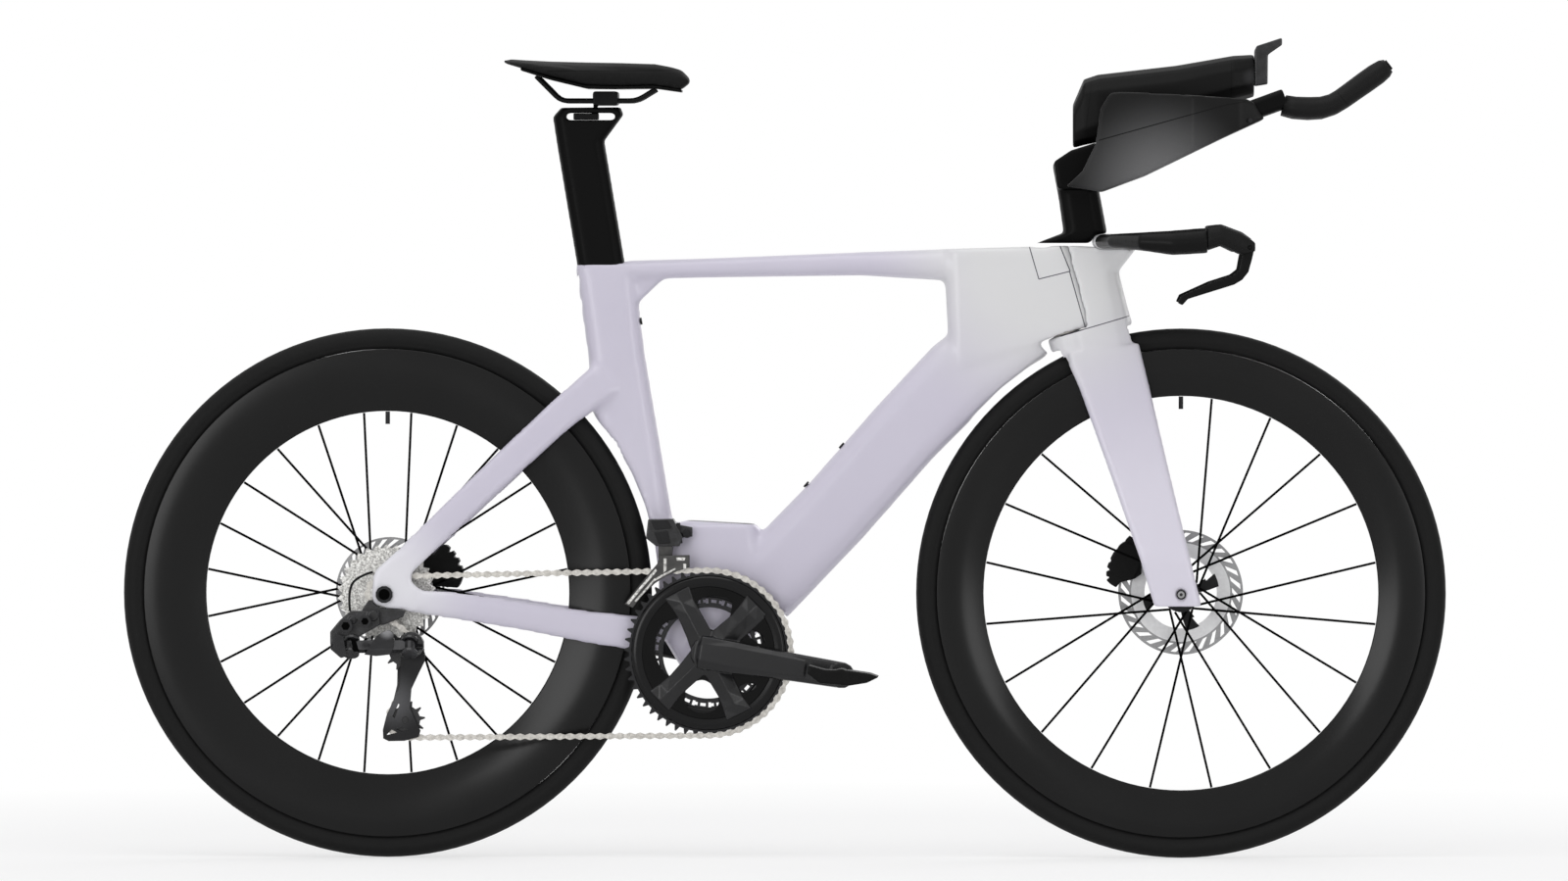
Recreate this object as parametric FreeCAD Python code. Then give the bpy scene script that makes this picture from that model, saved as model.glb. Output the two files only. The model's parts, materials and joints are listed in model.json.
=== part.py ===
"""Time trial bike with an aero frame, deep wheels, integrated cockpit and electric shifting.

Millimetres. X points ahead, Z points up, the drive side is at negative Y.
The origin lies on the ground, in the centre plane, midway between the two axles.
"""
import FreeCAD, Part
import math
import os

Vector = FreeCAD.Vector

# Layout of the whole bike
wheelbase = 1012.0
frame_rise = 450.0
head_angle = 73.0
fork_rake = 43.0
bottom_bracket_drop = 75.0
chain_stay_run = 411.0

# Clearances
running_gap = 0.3
seat_gap = 0.1
shaft_gap = 0.05
wheel_gap = 9.5
wheel_side_gap = 6.0
cut_overrun = 5.0

# Frame tubes
top_tube_width = 38.0
head_width = 52.0
down_tube_width = 46.0
seat_tube_width = 36.0
pedal_box_width = 64.0
stay_thickness = 14.0
stay_spread = 75.5
dropout_thickness = 9.0
dropout_length = 54.0
shell_radius = 26.0
shell_width = 86.5

# Head tube and headset
steerer_radius = 14.3
steerer_room = 1.5
steerer_length = 108.0
bearing_radius = 20.9
bearing_height = 8.0
split_height = 359.5
head_nose_radius = 37.5
crown_pocket_radius = 26.5
nose_clearance = 0.8
upper_bearing_height = 92.0

# Panels and bolts on the frame
panel_skin = 2.5
panel_gap = 0.25
lid_length = 92.0
lid_width = 26.0
lid_thickness = 3.5
lid_corner = 8.0
bolt_head_radius = 4.6
bolt_head_height = 2.6
bolt_shank_radius = 2.4
bolt_shank_length = 5.5
bottle_bolt_lean = 49.0
seat_bolt_lean = -80.5

# Seat post
post_lean = 9.5
post_chord = 61.0
post_width = 25.0
post_insert = 165.0
post_rise = 200.0
post_slot_height = 9.0

# Saddle
saddle_length = 243.0
saddle_height = 53.0
saddle_width = 138.0
saddle_shell_thickness = 4.0
rail_radius = 3.5
rail_spread = 22.0
rail_bend_reach = 9.0
clamp_length = 32.0
clamp_height = 18.0
clamp_wall = 3.0
insert_length = 32.0
insert_bolt_radius = 3.0
clamp_lift = 3.0

# Wheels
tyre_width = 27.0
tyre_height = 26.5
tyre_seat_radius = 311.0
rim_width = 28.0
rear_rim_depth = 79.0
front_rim_depth = 59.5
spoke_width = 3.0
spoke_thickness = 1.2
spoke_offset = 18.5
hub_radius = 14.0
flange_radius = 24.0
flange_thickness = 3.5
axle_radius = 6.0
axle_head_radius = 11.0
axle_head_height = 3.0
end_cap_radius = 9.5
valve_radius = 3.0
valve_length = 16.0

# Front hub
front_hub_width = 100.0
front_flange_right = 32.0
front_flange_left = 22.0
front_rotor_radius = 80.0
front_rotor_place = 39.3

# Rear hub
rear_hub_width = 142.0
rear_flange_right = 17.0
rear_flange_left = 32.0
rear_rotor_radius = 70.0
rear_rotor_place = 55.7

# Rotor discs
rotor_thickness = 1.8
rotor_band = 13.0
rotor_arm_width = 9.0
rotor_hole_radius = 10.0
rotor_core_radius = 21.0
rotor_slot_length = 9.0
rotor_slot_width = 3.4
rotor_slot_slant = 25.0

# Brake calipers
caliper_length = 44.0
caliper_height = 36.0
caliper_width = 32.0
caliper_slot = 4.4
caliper_corner = 9.0
rear_caliper_tilt = -6.0
front_caliper_tilt = 62.0

# Chain and sprockets
chain_pitch = 12.7
roller_radius = 3.6
tooth_root_depth = 4.05
tooth_tip_rise = 2.3
tooth_valley_half = 2.6
tooth_tip_half = 0.9
sprocket_thickness = 1.5
chain_inner_half = 1.05
chain_plate_thickness = 0.7
chain_plate_gap = 0.1
chain_plate_half = 3.9
chain_plate_overhang = 4.0
chain_lead = 38.0
sprocket_line = 62.5
sprocket_pitch_step = 3.55
big_ring_line = 48.0
small_ring_line = 41.0
freehub_radius = 15.0
lockring_radius = 17.0
lockring_thickness = 1.5

# Cranks
crank_length = 172.5
crank_drop_angle = 9.2
spindle_radius = 12.0
cup_radius = 17.5
arm_root_height = 40.0
arm_tip_height = 33.0
arm_thickness = 14.0
arm_root_inner = 51.0
arm_tip_inner = 60.0
arm_boss_radius = 22.0
spider_radius = 84.0
spider_width = 34.0
spider_thickness = 6.0
ring_inner_radius = 58.0
small_ring_inner_radius = 50.0
ring_bolt_radius = 4.5
ring_bolt_circle = 63.5
pedal_axle_radius = 7.0
pedal_axle_length = 56.0
pedal_gap = 7.0
pedal_width = 52.0
pedal_length = 91.0
pedal_height = 27.0
pedal_barrel_radius = 10.5

# Front derailleur
changer_length = 40.0
changer_height = 34.0
changer_depth = 20.0
cage_plate_thickness = 1.4
cage_plate_gap = 5.2
cage_inner_radius = 110.5
cage_outer_radius = 124.0
cage_bridge_rise = 12.0
changer_pin_radius = 3.0
changer_pin_line = 36.0
changer_set_back = 54.776
changer_rise = 135.75
changer_pin_rise = 141.6
changer_pin_half = 17.0
changer_outer = 50.0
cage_bridge_angle = 14.0

# Rear derailleur
hanger_reach = 40.0
motor_reach = 62.0
motor_depth = 12.0
link_length = 74.0
link_height = 14.0
link_thickness = 8.0
knuckle_radius = 17.0
knuckle_length = 20.0
cage_thickness = 2.0
cage_half_gap = 5.0
cage_length = 96.5
guide_offset = 14.0
guide_angle = 225.0
tension_angle = 270.0
cage_search = 0.25
knuckle_gap = 2.0
link_line = 99.0
link_clear = 12.0
lug_radius = 11.0
lug_thickness = 5.0
mech_pin_radius = 3.0
mech_slant = 35.0
wire_radius = 1.6
wire_bend_reach = 8.0

# Fork
crown_width = 60.0
crown_rear_radius = 25.0
blade_thickness = 14.0
blade_spread = 56.5
crown_depth = 30.0

# Base bar and brake levers
bar_half_span = 205.0
bar_wing_thickness = 17.0
bar_grip_width = 29.0
bar_grip_height = 31.0
bar_bend_chord = 36.0
bar_bend_height = 24.0
cockpit_reach = 400.0
cockpit_rise = 250.0
hood_width = 30.0
lever_thickness = 9.0
lever_slot_gap = 0.8
lever_pin_radius = 2.5

# Riser, arm cups, pads, bottle and extensions
riser_width = 32.0
riser_head_half = 33.0
cup_inner = 33.1
cup_width = 80.0
cup_slope = 23.0
forearm_radius = 36.0
pad_thickness = 9.0
bottle_width = 58.0
extension_side = 25.0
extension_slope = 20.0
grip_radius = 14.0
button_radius = 7.0
button_length = 12.0
button_travel = 1.6
button_rise = 3.0
extension_line = 64.0
mount_width = 34.0

# Roundness of corners, as shares of the thinner side of a section
tube_round_share = 0.42
flat_round_share = 0.30
post_round_share = 0.47
top_round_share = 0.38
bar_round_share = 0.45
arm_round_share = 0.30
corner_turns = (0.0, 45.0, 90.0)
rod_sides = 12
wheel_sides = 48
hub_sides = 24
rotor_sides = 36
grip_sides = 10
bend_steps = 3
bent_rod_sides = 8

# Outlines of the frame tubes: upper or rear edge, lower or front edge, share of the tube width.
# Edge places are shares of the wheelbase and, above the axles, of the frame rise.
top_tube_shares = (
    (-0.2550, 0.938, -0.2550, 0.886, 0.88),
    (-0.0990, 0.948, -0.0990, 0.894, 0.92),
    (0.0990, 0.966, 0.0990, 0.900, 1.04),
    (0.2400, 0.978, 0.2400, 0.880, 1.20),
)
head_shares = (
    (0.2090, 0.632, 0.3900, 0.760, 0.94),
    (0.2010, 0.975, 0.3950, 0.987, 1.00),
)
down_tube_shares = (
    (0.2600, 0.820, 0.3340, 0.679, 0.94),
    (0.1880, 0.701, 0.2580, 0.540, 1.00),
    (0.1190, 0.535, 0.1890, 0.385, 1.04),
    (0.0300, 0.307, 0.1000, 0.157, 1.12),
    (-0.0640, 0.090, 0.0040, -0.070, 1.20),
)
seat_tube_shares = (
    (-0.2640, 0.938, -0.1890, 0.938, 0.97),
    (-0.2475, 0.680, -0.1755, 0.680, 1.00),
    (-0.2380, 0.430, -0.1560, 0.420, 1.05),
    (-0.2250, 0.150, -0.1360, 0.150, 1.16),
)
pedal_box_shares = (
    (-0.1300, -0.210, -0.0600, -0.210, 0.90),
    (-0.1700, -0.060, -0.0200, -0.060, 1.00),
    (-0.1850, 0.202, -0.0330, 0.198, 0.74),
)
gusset_shares = ((-0.2000, 0.905), (-0.1860, 0.818), (-0.1540, 0.886), (-0.1400, 0.905))
# Stays: upper edge, lower edge, share of the stay thickness, share of the dropout spread
seat_stay_shares = (
    (-0.2400, 0.648, -0.2060, 0.570, 1.40, 0.17),
    (-0.2960, 0.537, -0.2680, 0.468, 1.10, 0.36),
    (-0.4110, 0.289, -0.3850, 0.228, 0.95, 0.80),
    (-0.4880, 0.118, -0.4610, 0.068, 0.75, 1.00),
)
chain_stay_shares = (
    (-0.1500, -0.070, -0.1550, -0.172, 1.15, 0.355),
    (-0.2450, -0.048, -0.2450, -0.142, 1.15, 0.425),
    (-0.3260, -0.020, -0.3260, -0.104, 1.05, 0.640),
    (-0.4150, 0.008, -0.4150, -0.070, 0.95, 0.930),
    (-0.4700, 0.017, -0.4700, -0.052, 0.75, 1.000),
)
# Dropout plate round the rear axle, in shares of its length
dropout_shares = ((0.63, -0.40), (0.81, 0.16), (0.60, 0.36), (0.70, 0.56), (0.25, 0.99), (-0.25, 0.55))
dropout_round_share = 0.32
cover_shares = ((0.3080, 1.020), (0.3210, 0.890), (0.3260, 0.887), (0.3560, 0.914), (0.3450, 1.020))
lid_place_share = (-0.0790, 0.2020)
lid_tilt = -3.2
bottle_bolt_shares = ((0.0735, 0.416), (0.0290, 0.306))
seat_bolt_share = (-0.1815, 0.770)
post_mouth_share = (-0.2312, 0.939)

# Nose and blades of the fork: rear edge, front edge, width share, spread share
nose_shares = (
    (0.3300, 0.987, 0.4440, 0.977, 0.66),
    (0.3450, 0.912, 0.4215, 0.912, 0.72),
    (0.3600, 0.800, 0.4340, 0.800, 0.84),
    (0.3480, 0.727, 0.4430, 0.737, 1.00),
)
crown_foot_shares = (0.3560, 0.665, 0.4480, 0.690, 1.00)
blade_shares = (
    (0.3520, 0.680, 0.4470, 0.710, 1.20, 0.42),
    (0.3720, 0.580, 0.4600, 0.590, 1.15, 0.52),
    (0.4090, 0.350, 0.4850, 0.350, 1.05, 0.76),
    (0.4480, 0.100, 0.5120, 0.100, 0.95, 1.00),
    (0.4660, -0.034, 0.5260, -0.034, 0.90, 1.00),
)

# Seat post head and slot, in shares of the post rise and the post chord
post_head_shares = (
    (0.755, -0.50, 0.755, 0.50),
    (0.960, -0.49, 0.900, 0.99),
    (1.010, -0.29, 0.950, 0.95),
)
post_slot_shares = (-0.648, 0.238, 0.925)
insert_place_share = 0.664
insert_bolt_share = 0.368
rail_place_share = (0.115, 1.025)

# Saddle stations: place, underside, crown as shares; half width as a share of the saddle width
saddle_shares = (
    (-0.545, 0.86, 1.00, 0.26),
    (-0.440, 0.72, 0.965, 0.45),
    (-0.290, 0.50, 0.930, 0.50),
    (-0.100, 0.29, 0.910, 0.42),
    (0.080, 0.28, 0.896, 0.30),
    (0.260, 0.29, 0.870, 0.225),
    (0.400, 0.20, 0.745, 0.185),
    (0.445, 0.36, 0.560, 0.13),
)
saddle_edge_share = 0.62
saddle_tuck_share = 0.90
saddle_brow_share = 0.93
crown_steps = 6
pad_steps = 5
rail_front_shares = (0.165, 0.265, 0.28)
rail_rear_shares = (-0.235, -0.365, 0.60)

# Wheel sections: share of the depth, share of the half width
tyre_shares = ((0.0, 0.85), (0.40, 1.00), (0.82, 0.66), (1.0, 0.20))
rim_shares = ((1.0, 0.94), (0.70, 1.00), (0.0, 0.34))
rear_caliper_shares = (0.93, 0.42)
front_caliper_shares = (-0.86, 0.50)
spider_tip_share = 0.36
plate_shoulder_share = 0.55

# Crank spider arms, in degrees from the crank arm
spider_angles = (45.0, 121.0, 238.0, 311.0)
cassette_teeth = (11, 12, 13, 14, 15, 16, 17, 19, 21, 24, 27, 30)
big_ring_teeth = 52
small_ring_teeth = 36
pulley_teeth = 11
rear_spoke_count = 24
rear_spoke_turns = (-1, -1, 1, 1)
front_spoke_count = 20
front_spoke_turns = (-1, 1, 1, -1)
rotor_arm_count = 4
rotor_slot_count = 12
pedal_shares = ((-0.45, 0.55), (-0.47, 0.15), (-0.30, -0.30), (0.10, -0.42), (0.36, -0.28),
                (0.53, 0.00), (0.40, 0.16), (0.12, 0.30), (-0.22, 0.34))
changer_shares = ((-0.55, 1.00), (0.25, 1.02), (0.55, 0.35), (0.45, 0.0), (-0.30, 0.0), (-0.62, 0.30))
changer_arm_share = 0.24
changer_bracket_shares = ((0.20, 0.30), (0.85, 0.35), (0.85, 0.70), (0.20, 0.85))
cage_sector = (98.0, 150.0)

# Rear derailleur places, as shares of the hanger reach or motor reach from the rear axle
hanger_shares = ((-0.50, -0.18), (0.80, -0.22), (0.60, -0.72), (-0.05, -0.98), (-0.62, -0.88), (-0.72, -0.50))
motor_shares = ((-0.10, -0.335), (-0.68, -0.33), (-0.90, -0.52), (-1.10, -0.76), (-1.10, -1.12),
                (-0.88, -1.30), (-0.62, -1.22), (-0.50, -0.86), (-0.08, -0.62))
link_root_share = (-0.66, -1.06)
knuckle_share = (0.55, -1.03)
pivot_share = 0.6
eye_share = 0.64
pulley_plate_share = 0.62
mech_bolt_shares = ((-0.22, -0.43, 0.11), (-0.645, -0.524, 0.08))
cage_shares = ((-0.12, 0.16), (-0.07, -0.25), (-0.12, -0.56), (-0.30, -1.07), (-0.24, -1.30), (0.187, -1.17),
               (0.04, -0.81), (0.083, -0.487), (0.228, -0.197), (0.20, 0.12))
cage_window_shares = ((-0.09, -0.80, 0.05), (-0.02, -0.42, 0.035))
wire_shares = ((-0.24, 0.46), (-0.58, 0.36), (-0.74, 0.06), (-0.70, -0.34))

# Cockpit outlines, in shares of its reach and rise from the top of the nose
bar_root_share = (0.3953, 1.005)
bar_wing_shares = (
    (-0.020, 0.132, -0.016, 0.000, 1.15),
    (0.000, 0.135, -0.016, 0.300, 1.00),
    (0.030, 0.160, -0.012, 0.680, 1.05),
)
bar_bend_share = (0.160, -0.016, 0.955)
bar_bend_turn = 45.0
bar_grip_shares = ((0.235, -0.022, 1.00), (0.345, -0.010, 1.04))
hood_shares = (
    (0.3453, 0.064, -0.060, 0.94),
    (0.3875, 0.072, -0.037, 1.00),
    (0.454, 0.032, -0.088, 0.94),
    (0.495, -0.016, -0.068, 0.60),
)
lever_pin_share = (0.478, -0.045)
lever_pin_reach_share = 0.34
lever_slot_shares = ((0.435, -0.300), (0.520, -0.300), (0.520, -0.005), (0.435, -0.005))
lever_shares = ((0.495, -0.032), (0.485, -0.103), (0.4735, -0.169), (0.454, -0.208), (0.429, -0.232),
                (0.283, -0.305), (0.266, -0.336), (0.2515, -0.325), (0.262, -0.290), (0.356, -0.222),
                (0.4245, -0.187), (0.446, -0.160), (0.454, -0.091), (0.462, -0.030))
riser_shares = (
    (-0.1975, -0.024, -0.030, -0.024, 0.60),
    (-0.110, 0.029, 0.030, 0.029, 1.00),
    (-0.125, 0.200, 0.010, 0.200, 0.94),
    (-0.145, 0.373, -0.005, 0.320, 0.94),
)
riser_head_shares = ((-0.128, 0.250), (-0.006, 0.250), (-0.004, 0.489), (-0.086, 0.448), (-0.140, 0.390))
cup_shares = ((-0.100, 0.264), (0.012, 0.236), (0.150, 0.318), (0.400, 0.512), (0.528, 0.606),
              (0.494, 0.690), (0.470, 0.708), (0.250, 0.730), (0.070, 0.744), (0.038, 0.736),
              (0.008, 0.660), (-0.008, 0.480), (-0.050, 0.340))
cup_trough_share = (0.150, 0.508)
trough_rear_share = -0.35
trough_front_share = 0.165
cup_plan_shares = ((-0.20, 0.0, 1.0), (0.30, 0.0, 1.0), (0.45, 0.16, 0.64), (0.56, 0.20, 0.58))
pad_reach_shares = (-0.13, -0.09, 0.02, 0.105, 0.140)
pad_thickness_shares = (0.45, 0.95, 1.00, 0.95, 0.45)
pad_angles = (42.0, 52.0, 56.0, 52.0, 42.0)
bottle_shares = (
    (-0.080, 0.460, 0.680, 0.80),
    (-0.045, 0.475, 0.810, 0.94),
    (0.000, 0.490, 0.834, 1.00),
    (0.250, 0.600, 0.880, 1.00),
    (0.430, 0.690, 0.930, 0.90),
    (0.497, 0.722, 0.936, 0.74),
)
extension_foot_share = (0.420, 0.610)
extension_length_share = 0.186
grip_shares = (
    (0.640, 0.694, -8.0, 1.14),
    (0.720, 0.678, 4.0, 0.94),
    (0.765, 0.714, 33.0, 0.98),
    (0.860, 0.820, 38.0, 1.02),
    (0.918, 0.876, 38.0, 0.86),
)
grip_start_share = 0.94
mount_shares = ((0.4975, 0.774), (0.540, 0.785), (0.541, 0.935), (0.586, 0.985), (0.586, 1.022),
                (0.505, 0.980), (0.4975, 0.955))

# Places worked out from the layout
tyre_radius = tyre_seat_radius + tyre_height
rear_rim_inner_radius = tyre_seat_radius - rear_rim_depth
front_rim_inner_radius = tyre_seat_radius - front_rim_depth
rear_axle_at = Vector(-wheelbase / 2, 0, tyre_radius)
front_axle_at = Vector(wheelbase / 2, 0, tyre_radius)
pedal_box_at = Vector(rear_axle_at.x + chain_stay_run, 0, tyre_radius - bottom_bracket_drop)
sideways = Vector(0, 1, 0)
centre_plane = Vector(0, 0, 0)
lean = math.radians(head_angle)
steer_up = Vector(-math.cos(lean), 0, math.sin(lean))
steer_ahead = Vector(math.sin(lean), 0, math.cos(lean))
steer_foot = front_axle_at - steer_ahead * fork_rake
steer_split = steer_foot + steer_up * split_height
post_tilt = math.radians(post_lean)
post_up = Vector(-math.sin(post_tilt), 0, math.cos(post_tilt))
post_ahead = Vector(math.cos(post_tilt), 0, math.sin(post_tilt))


def frame_point(x_share, z_share, y=0):
    """A place on the frame, from shares of the wheelbase and of the frame rise."""
    return Vector(x_share * wheelbase, y, tyre_radius + z_share * frame_rise)


post_mouth = frame_point(*post_mouth_share)
bar_root = frame_point(*bar_root_share)


def cockpit_point(x_share, z_share, y=0):
    """A place on the cockpit, from shares of its reach and rise."""
    return bar_root + Vector(x_share * cockpit_reach, y, z_share * cockpit_rise)


def rounded_ring(centre, along, across, length, width, radius):
    """Corners of a rectangle whose own corners are rounded by short flats, on two directions."""
    flat_long = length / 2 - radius
    flat_wide = width / 2 - radius
    points = []
    for long_side, wide_side in ((1, 1), (-1, 1), (-1, -1), (1, -1)):
        turns = corner_turns if long_side * wide_side > 0 else corner_turns[::-1]
        for degrees in turns:
            reach = flat_long + radius * math.cos(math.radians(degrees))
            out = flat_wide + radius * math.sin(math.radians(degrees))
            points.append(centre + along * (long_side * reach) + across * (wide_side * out))
    return points


def outline(points):
    return Part.makePolygon(list(points) + [points[0]])


def prism(points, run):
    """A straight-sided block from a flat outline along a run."""
    return Part.Face(outline(points)).extrude(run)


def tube_ring(upper, lower, width, corner_share, offset=0):
    """Outline of a tube between its two edges in the side view."""
    span = lower - upper
    centre = (upper + lower) * 0.5 + Vector(0, offset, 0)
    depth = span.Length
    along = span * (1 / depth)
    return rounded_ring(centre, along, sideways, depth, width, corner_share * min(depth, width))


def loft(rings, closed=False):
    """A solid skinned with flat facets through outlines that have the same corners in order."""
    pairs = list(zip(rings, rings[1:]))
    faces = []
    if closed:
        pairs.append((rings[-1], rings[0]))
    else:
        faces = [Part.Face(outline(rings[0])), Part.Face(outline(rings[-1]))]
    for lower, upper in pairs:
        for number in range(len(lower)):
            after = (number + 1) % len(lower)
            faces.append(Part.Face(outline([lower[number], lower[after], upper[after]])))
            faces.append(Part.Face(outline([lower[number], upper[after], upper[number]])))
    skin = Part.makeCompound(faces)
    skin.sewShape()
    solid = Part.makeSolid(skin.Shells[0])
    if solid.Volume < 0:
        solid.reverse()
    return solid


def tube(shares, width, corner_share):
    rings = []
    for ux, uz, lx, lz, width_share in shares:
        rings.append(tube_ring(frame_point(ux, uz), frame_point(lx, lz), width * width_share, corner_share))
    return loft(rings)


def side_tube(shares, thickness, spread, corner_share):
    """A tube of the drive side, carried out of the centre plane by its spread."""
    rings = []
    for ux, uz, lx, lz, thick_share, spread_share in shares:
        upper = frame_point(ux, uz)
        lower = frame_point(lx, lz)
        rings.append(tube_ring(upper, lower, thickness * thick_share, corner_share, -spread * spread_share))
    return loft(rings)


def mirrored(shape):
    return shape.mirror(centre_plane, sideways)


def both_sides(shape):
    return [shape, mirrored(shape)]


def plate(points, near, far):
    """A flat plate with a straight-sided outline, between two places across the bike."""
    ring = [Vector(p.x, near, p.z) for p in points]
    return prism(ring, Vector(0, far - near, 0))


def cross_rod(radius, centre, near, far):
    """A round bar across the bike."""
    return Part.makeCylinder(radius, far - near, Vector(centre.x, near, centre.z), sideways)


def steer_rod(radius, low, high):
    """A round bar on the steering axis, between two heights above the crown split."""
    return Part.makeCylinder(radius, high - low, steer_split + steer_up * low, steer_up)


def steer_block(rear, ahead, half_width, low, high):
    """A block square to the steering axis."""
    corner = steer_split + steer_up * low + steer_ahead * rear
    ring = []
    for reach, side in ((0, -1), (ahead - rear, -1), (ahead - rear, 1), (0, 1)):
        ring.append(corner + steer_ahead * reach + sideways * (side * half_width))
    return prism(ring, steer_up * (high - low))


def wheel_room(centre, half_width):
    return flat_cross_bore(tyre_radius + wheel_gap, centre, -half_width, half_width, wheel_sides)


def turned(shape, centre, degrees, axis=sideways):
    copy = shape.copy()
    copy.rotate(centre, axis, degrees)
    return copy


def flat_rod(radius, start, run, sides=rod_sides):
    """A bar with flats, from a place along a run."""
    first = sideways.cross(run)
    if first.Length < run.Length * 1e-6:
        first = Vector(0, 0, 1)
    first = first.normalize()
    second = run.cross(first).normalize()
    ring = []
    for number in range(sides):
        angle = (number + 0.5) * 2 * math.pi / sides
        ring.append(start + first * (radius * math.cos(angle)) + second * (radius * math.sin(angle)))
    return prism(ring, run)


def flat_bore(radius, start, run, sides=rod_sides):
    """Room with flats that a round or flat bar of this radius goes into."""
    return flat_rod(radius / math.cos(math.pi / sides), start, run, sides)


def flat_cross_rod(radius, centre, near, far, sides=rod_sides):
    """A bar with flats across the bike."""
    return flat_rod(radius, Vector(centre.x, near, centre.z), sideways * (far - near), sides)


def flat_cross_bore(radius, centre, near, far, sides=rod_sides):
    return flat_bore(radius, Vector(centre.x, near, centre.z), sideways * (far - near), sides)


def revolved(profile, centre, sides):
    """A ring about a cross axis, in flats, from an outline of radius and side place."""
    rings = []
    for number in range(sides):
        angle = 2 * math.pi * number / sides
        out = Vector(math.sin(angle), 0, -math.cos(angle))
        rings.append([centre + out * radius + sideways * side for radius, side in profile])
    return loft(rings, True)


def head_core(skin):
    """The head of the frame, with its surface moved inwards by a skin."""
    rings = []
    for ux, uz, lx, lz, width_share in head_shares:
        rear = frame_point(ux, uz)
        front = frame_point(lx, lz)
        rings.append(tube_ring(rear, front, head_width * width_share - 2 * skin, flat_round_share))
    core = loft(rings)
    core.translate(Vector(0, 0, -skin))
    return core


def post_prism(chord, width, low, high):
    foot = post_mouth + post_up * low
    ring = rounded_ring(foot, post_ahead, sideways, chord, width, post_round_share * width)
    return prism(ring, post_up * (high - low))


def dropout_plate():
    """Drive-side plate that holds the rear axle."""
    inner = rear_hub_width / 2
    points = [rear_axle_at + Vector(x * dropout_length, 0, z * dropout_length) for x, z in dropout_shares]
    radius = dropout_round_share * dropout_length
    heel = points[-1]
    toe = rear_axle_at + Vector(0, 0, -radius)
    back = rear_axle_at + Vector(-radius, 0, 0)
    low_back = rear_axle_at + Vector(-radius * math.sqrt(0.5), 0, -radius * math.sqrt(0.5))
    round_end = Part.Arc(back, low_back, toe).toShape()
    edges = [Part.makeLine(heel, back), round_end, Part.makeLine(toe, points[0])]
    for start, end in zip(points, points[1:]):
        edges.append(Part.makeLine(start, end))
    solid = Part.Face(Part.Wire(edges)).extrude(Vector(0, -dropout_thickness, 0))
    solid.translate(Vector(0, -inner, 0))
    return solid


def cover_prism(grow):
    """Block in the shape of the head cover panel, grown by a gap."""
    points = [frame_point(x, z) for x, z in cover_shares]
    middle = Vector(0, 0, 0)
    for place in points:
        middle = middle + place * (1 / len(points))
    grown = [place + (place - middle).normalize() * grow for place in points]
    return plate(grown, -head_width, head_width)


def lid_block(grow, low, high):
    """Storage lid outline, level with the top of the pedal box."""
    place = frame_point(*lid_place_share)
    tilt = math.radians(lid_tilt)
    along = Vector(math.cos(tilt), 0, math.sin(tilt))
    up = Vector(-math.sin(tilt), 0, math.cos(tilt))
    ring = rounded_ring(place + up * low, along, sideways, lid_length + grow, lid_width + grow, lid_corner)
    return prism(ring, up * (high - low))


def bolt_axis(x_share, z_share, slope):
    tilt = math.radians(slope)
    return frame_point(x_share, z_share), Vector(-math.sin(tilt), 0, math.cos(tilt))


def frame_bolt_places():
    places = [bolt_axis(x, z, bottle_bolt_lean) for x, z in bottle_bolt_shares]
    places.append(bolt_axis(*seat_bolt_share, seat_bolt_lean))
    return places


def make_frame():
    """One moulded shell: tubes, head, pedal box, stays and dropouts, with its bores and sockets."""
    hull = tube(seat_tube_shares, seat_tube_width, tube_round_share)
    hull = hull.fuse(tube(pedal_box_shares, pedal_box_width, flat_round_share))
    hull = hull.cut(wheel_room(rear_axle_at, pedal_box_width))
    gusset = plate([frame_point(x, z) for x, z in gusset_shares], -top_tube_width / 4, top_tube_width / 4)
    stays = both_sides(side_tube(seat_stay_shares, stay_thickness, stay_spread, tube_round_share))
    stays = stays + both_sides(side_tube(chain_stay_shares, stay_thickness, stay_spread, tube_round_share))
    tubes = [
        tube(top_tube_shares, top_tube_width, top_round_share),
        head_core(0),
        tube(down_tube_shares, down_tube_width, tube_round_share),
        gusset,
        flat_cross_rod(shell_radius, pedal_box_at, -shell_width / 2, shell_width / 2, hub_sides),
    ]
    hull = hull.fuse(tubes + stays + both_sides(dropout_plate()))
    slot_half = tyre_width / 2 + wheel_side_gap
    far = wheelbase / 2
    cuts = [
        wheel_room(rear_axle_at, slot_half),
        wheel_room(front_axle_at, head_width),
        steer_block(0, far, head_width, -far, far).cut(steer_rod(head_nose_radius, 0, far)),
        steer_rod(crown_pocket_radius, -far, 0),
        steer_rod(steerer_radius + steerer_room, -cut_overrun, steerer_length + cut_overrun),
        steer_rod(bearing_radius + seat_gap, -cut_overrun, bearing_height + seat_gap),
        steer_rod(bearing_radius + seat_gap, upper_bearing_height - seat_gap, steerer_length + cut_overrun),
        post_prism(post_chord + 2 * shaft_gap, post_width + 2 * shaft_gap, -post_insert * 1.5, post_rise),
        flat_cross_bore(cup_radius + seat_gap, pedal_box_at, -shell_width, shell_width),
        flat_cross_bore(axle_radius + seat_gap, rear_axle_at, -rear_hub_width, rear_hub_width),
        cover_prism(panel_gap).cut(head_core(panel_skin)),
        lid_block(2 * panel_gap, -lid_thickness, lid_thickness * 4),
    ]
    for place, up in frame_bolt_places():
        shank_foot = place - up * bolt_shank_length
        cuts.append(flat_bore(bolt_shank_radius + seat_gap, shank_foot, up * bolt_shank_length))
        cuts.append(flat_bore(bolt_head_radius + seat_gap, place, up * (bolt_head_height * 4)))
    return hull.cut(cuts).removeSplitter()


def make_steerer_cover():
    return head_core(0).common(cover_prism(0)).cut([
        head_core(panel_skin - seat_gap),
        steer_block(0, wheelbase, head_width, 0, wheelbase).cut(steer_rod(head_nose_radius, 0, wheelbase)),
    ])


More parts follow.
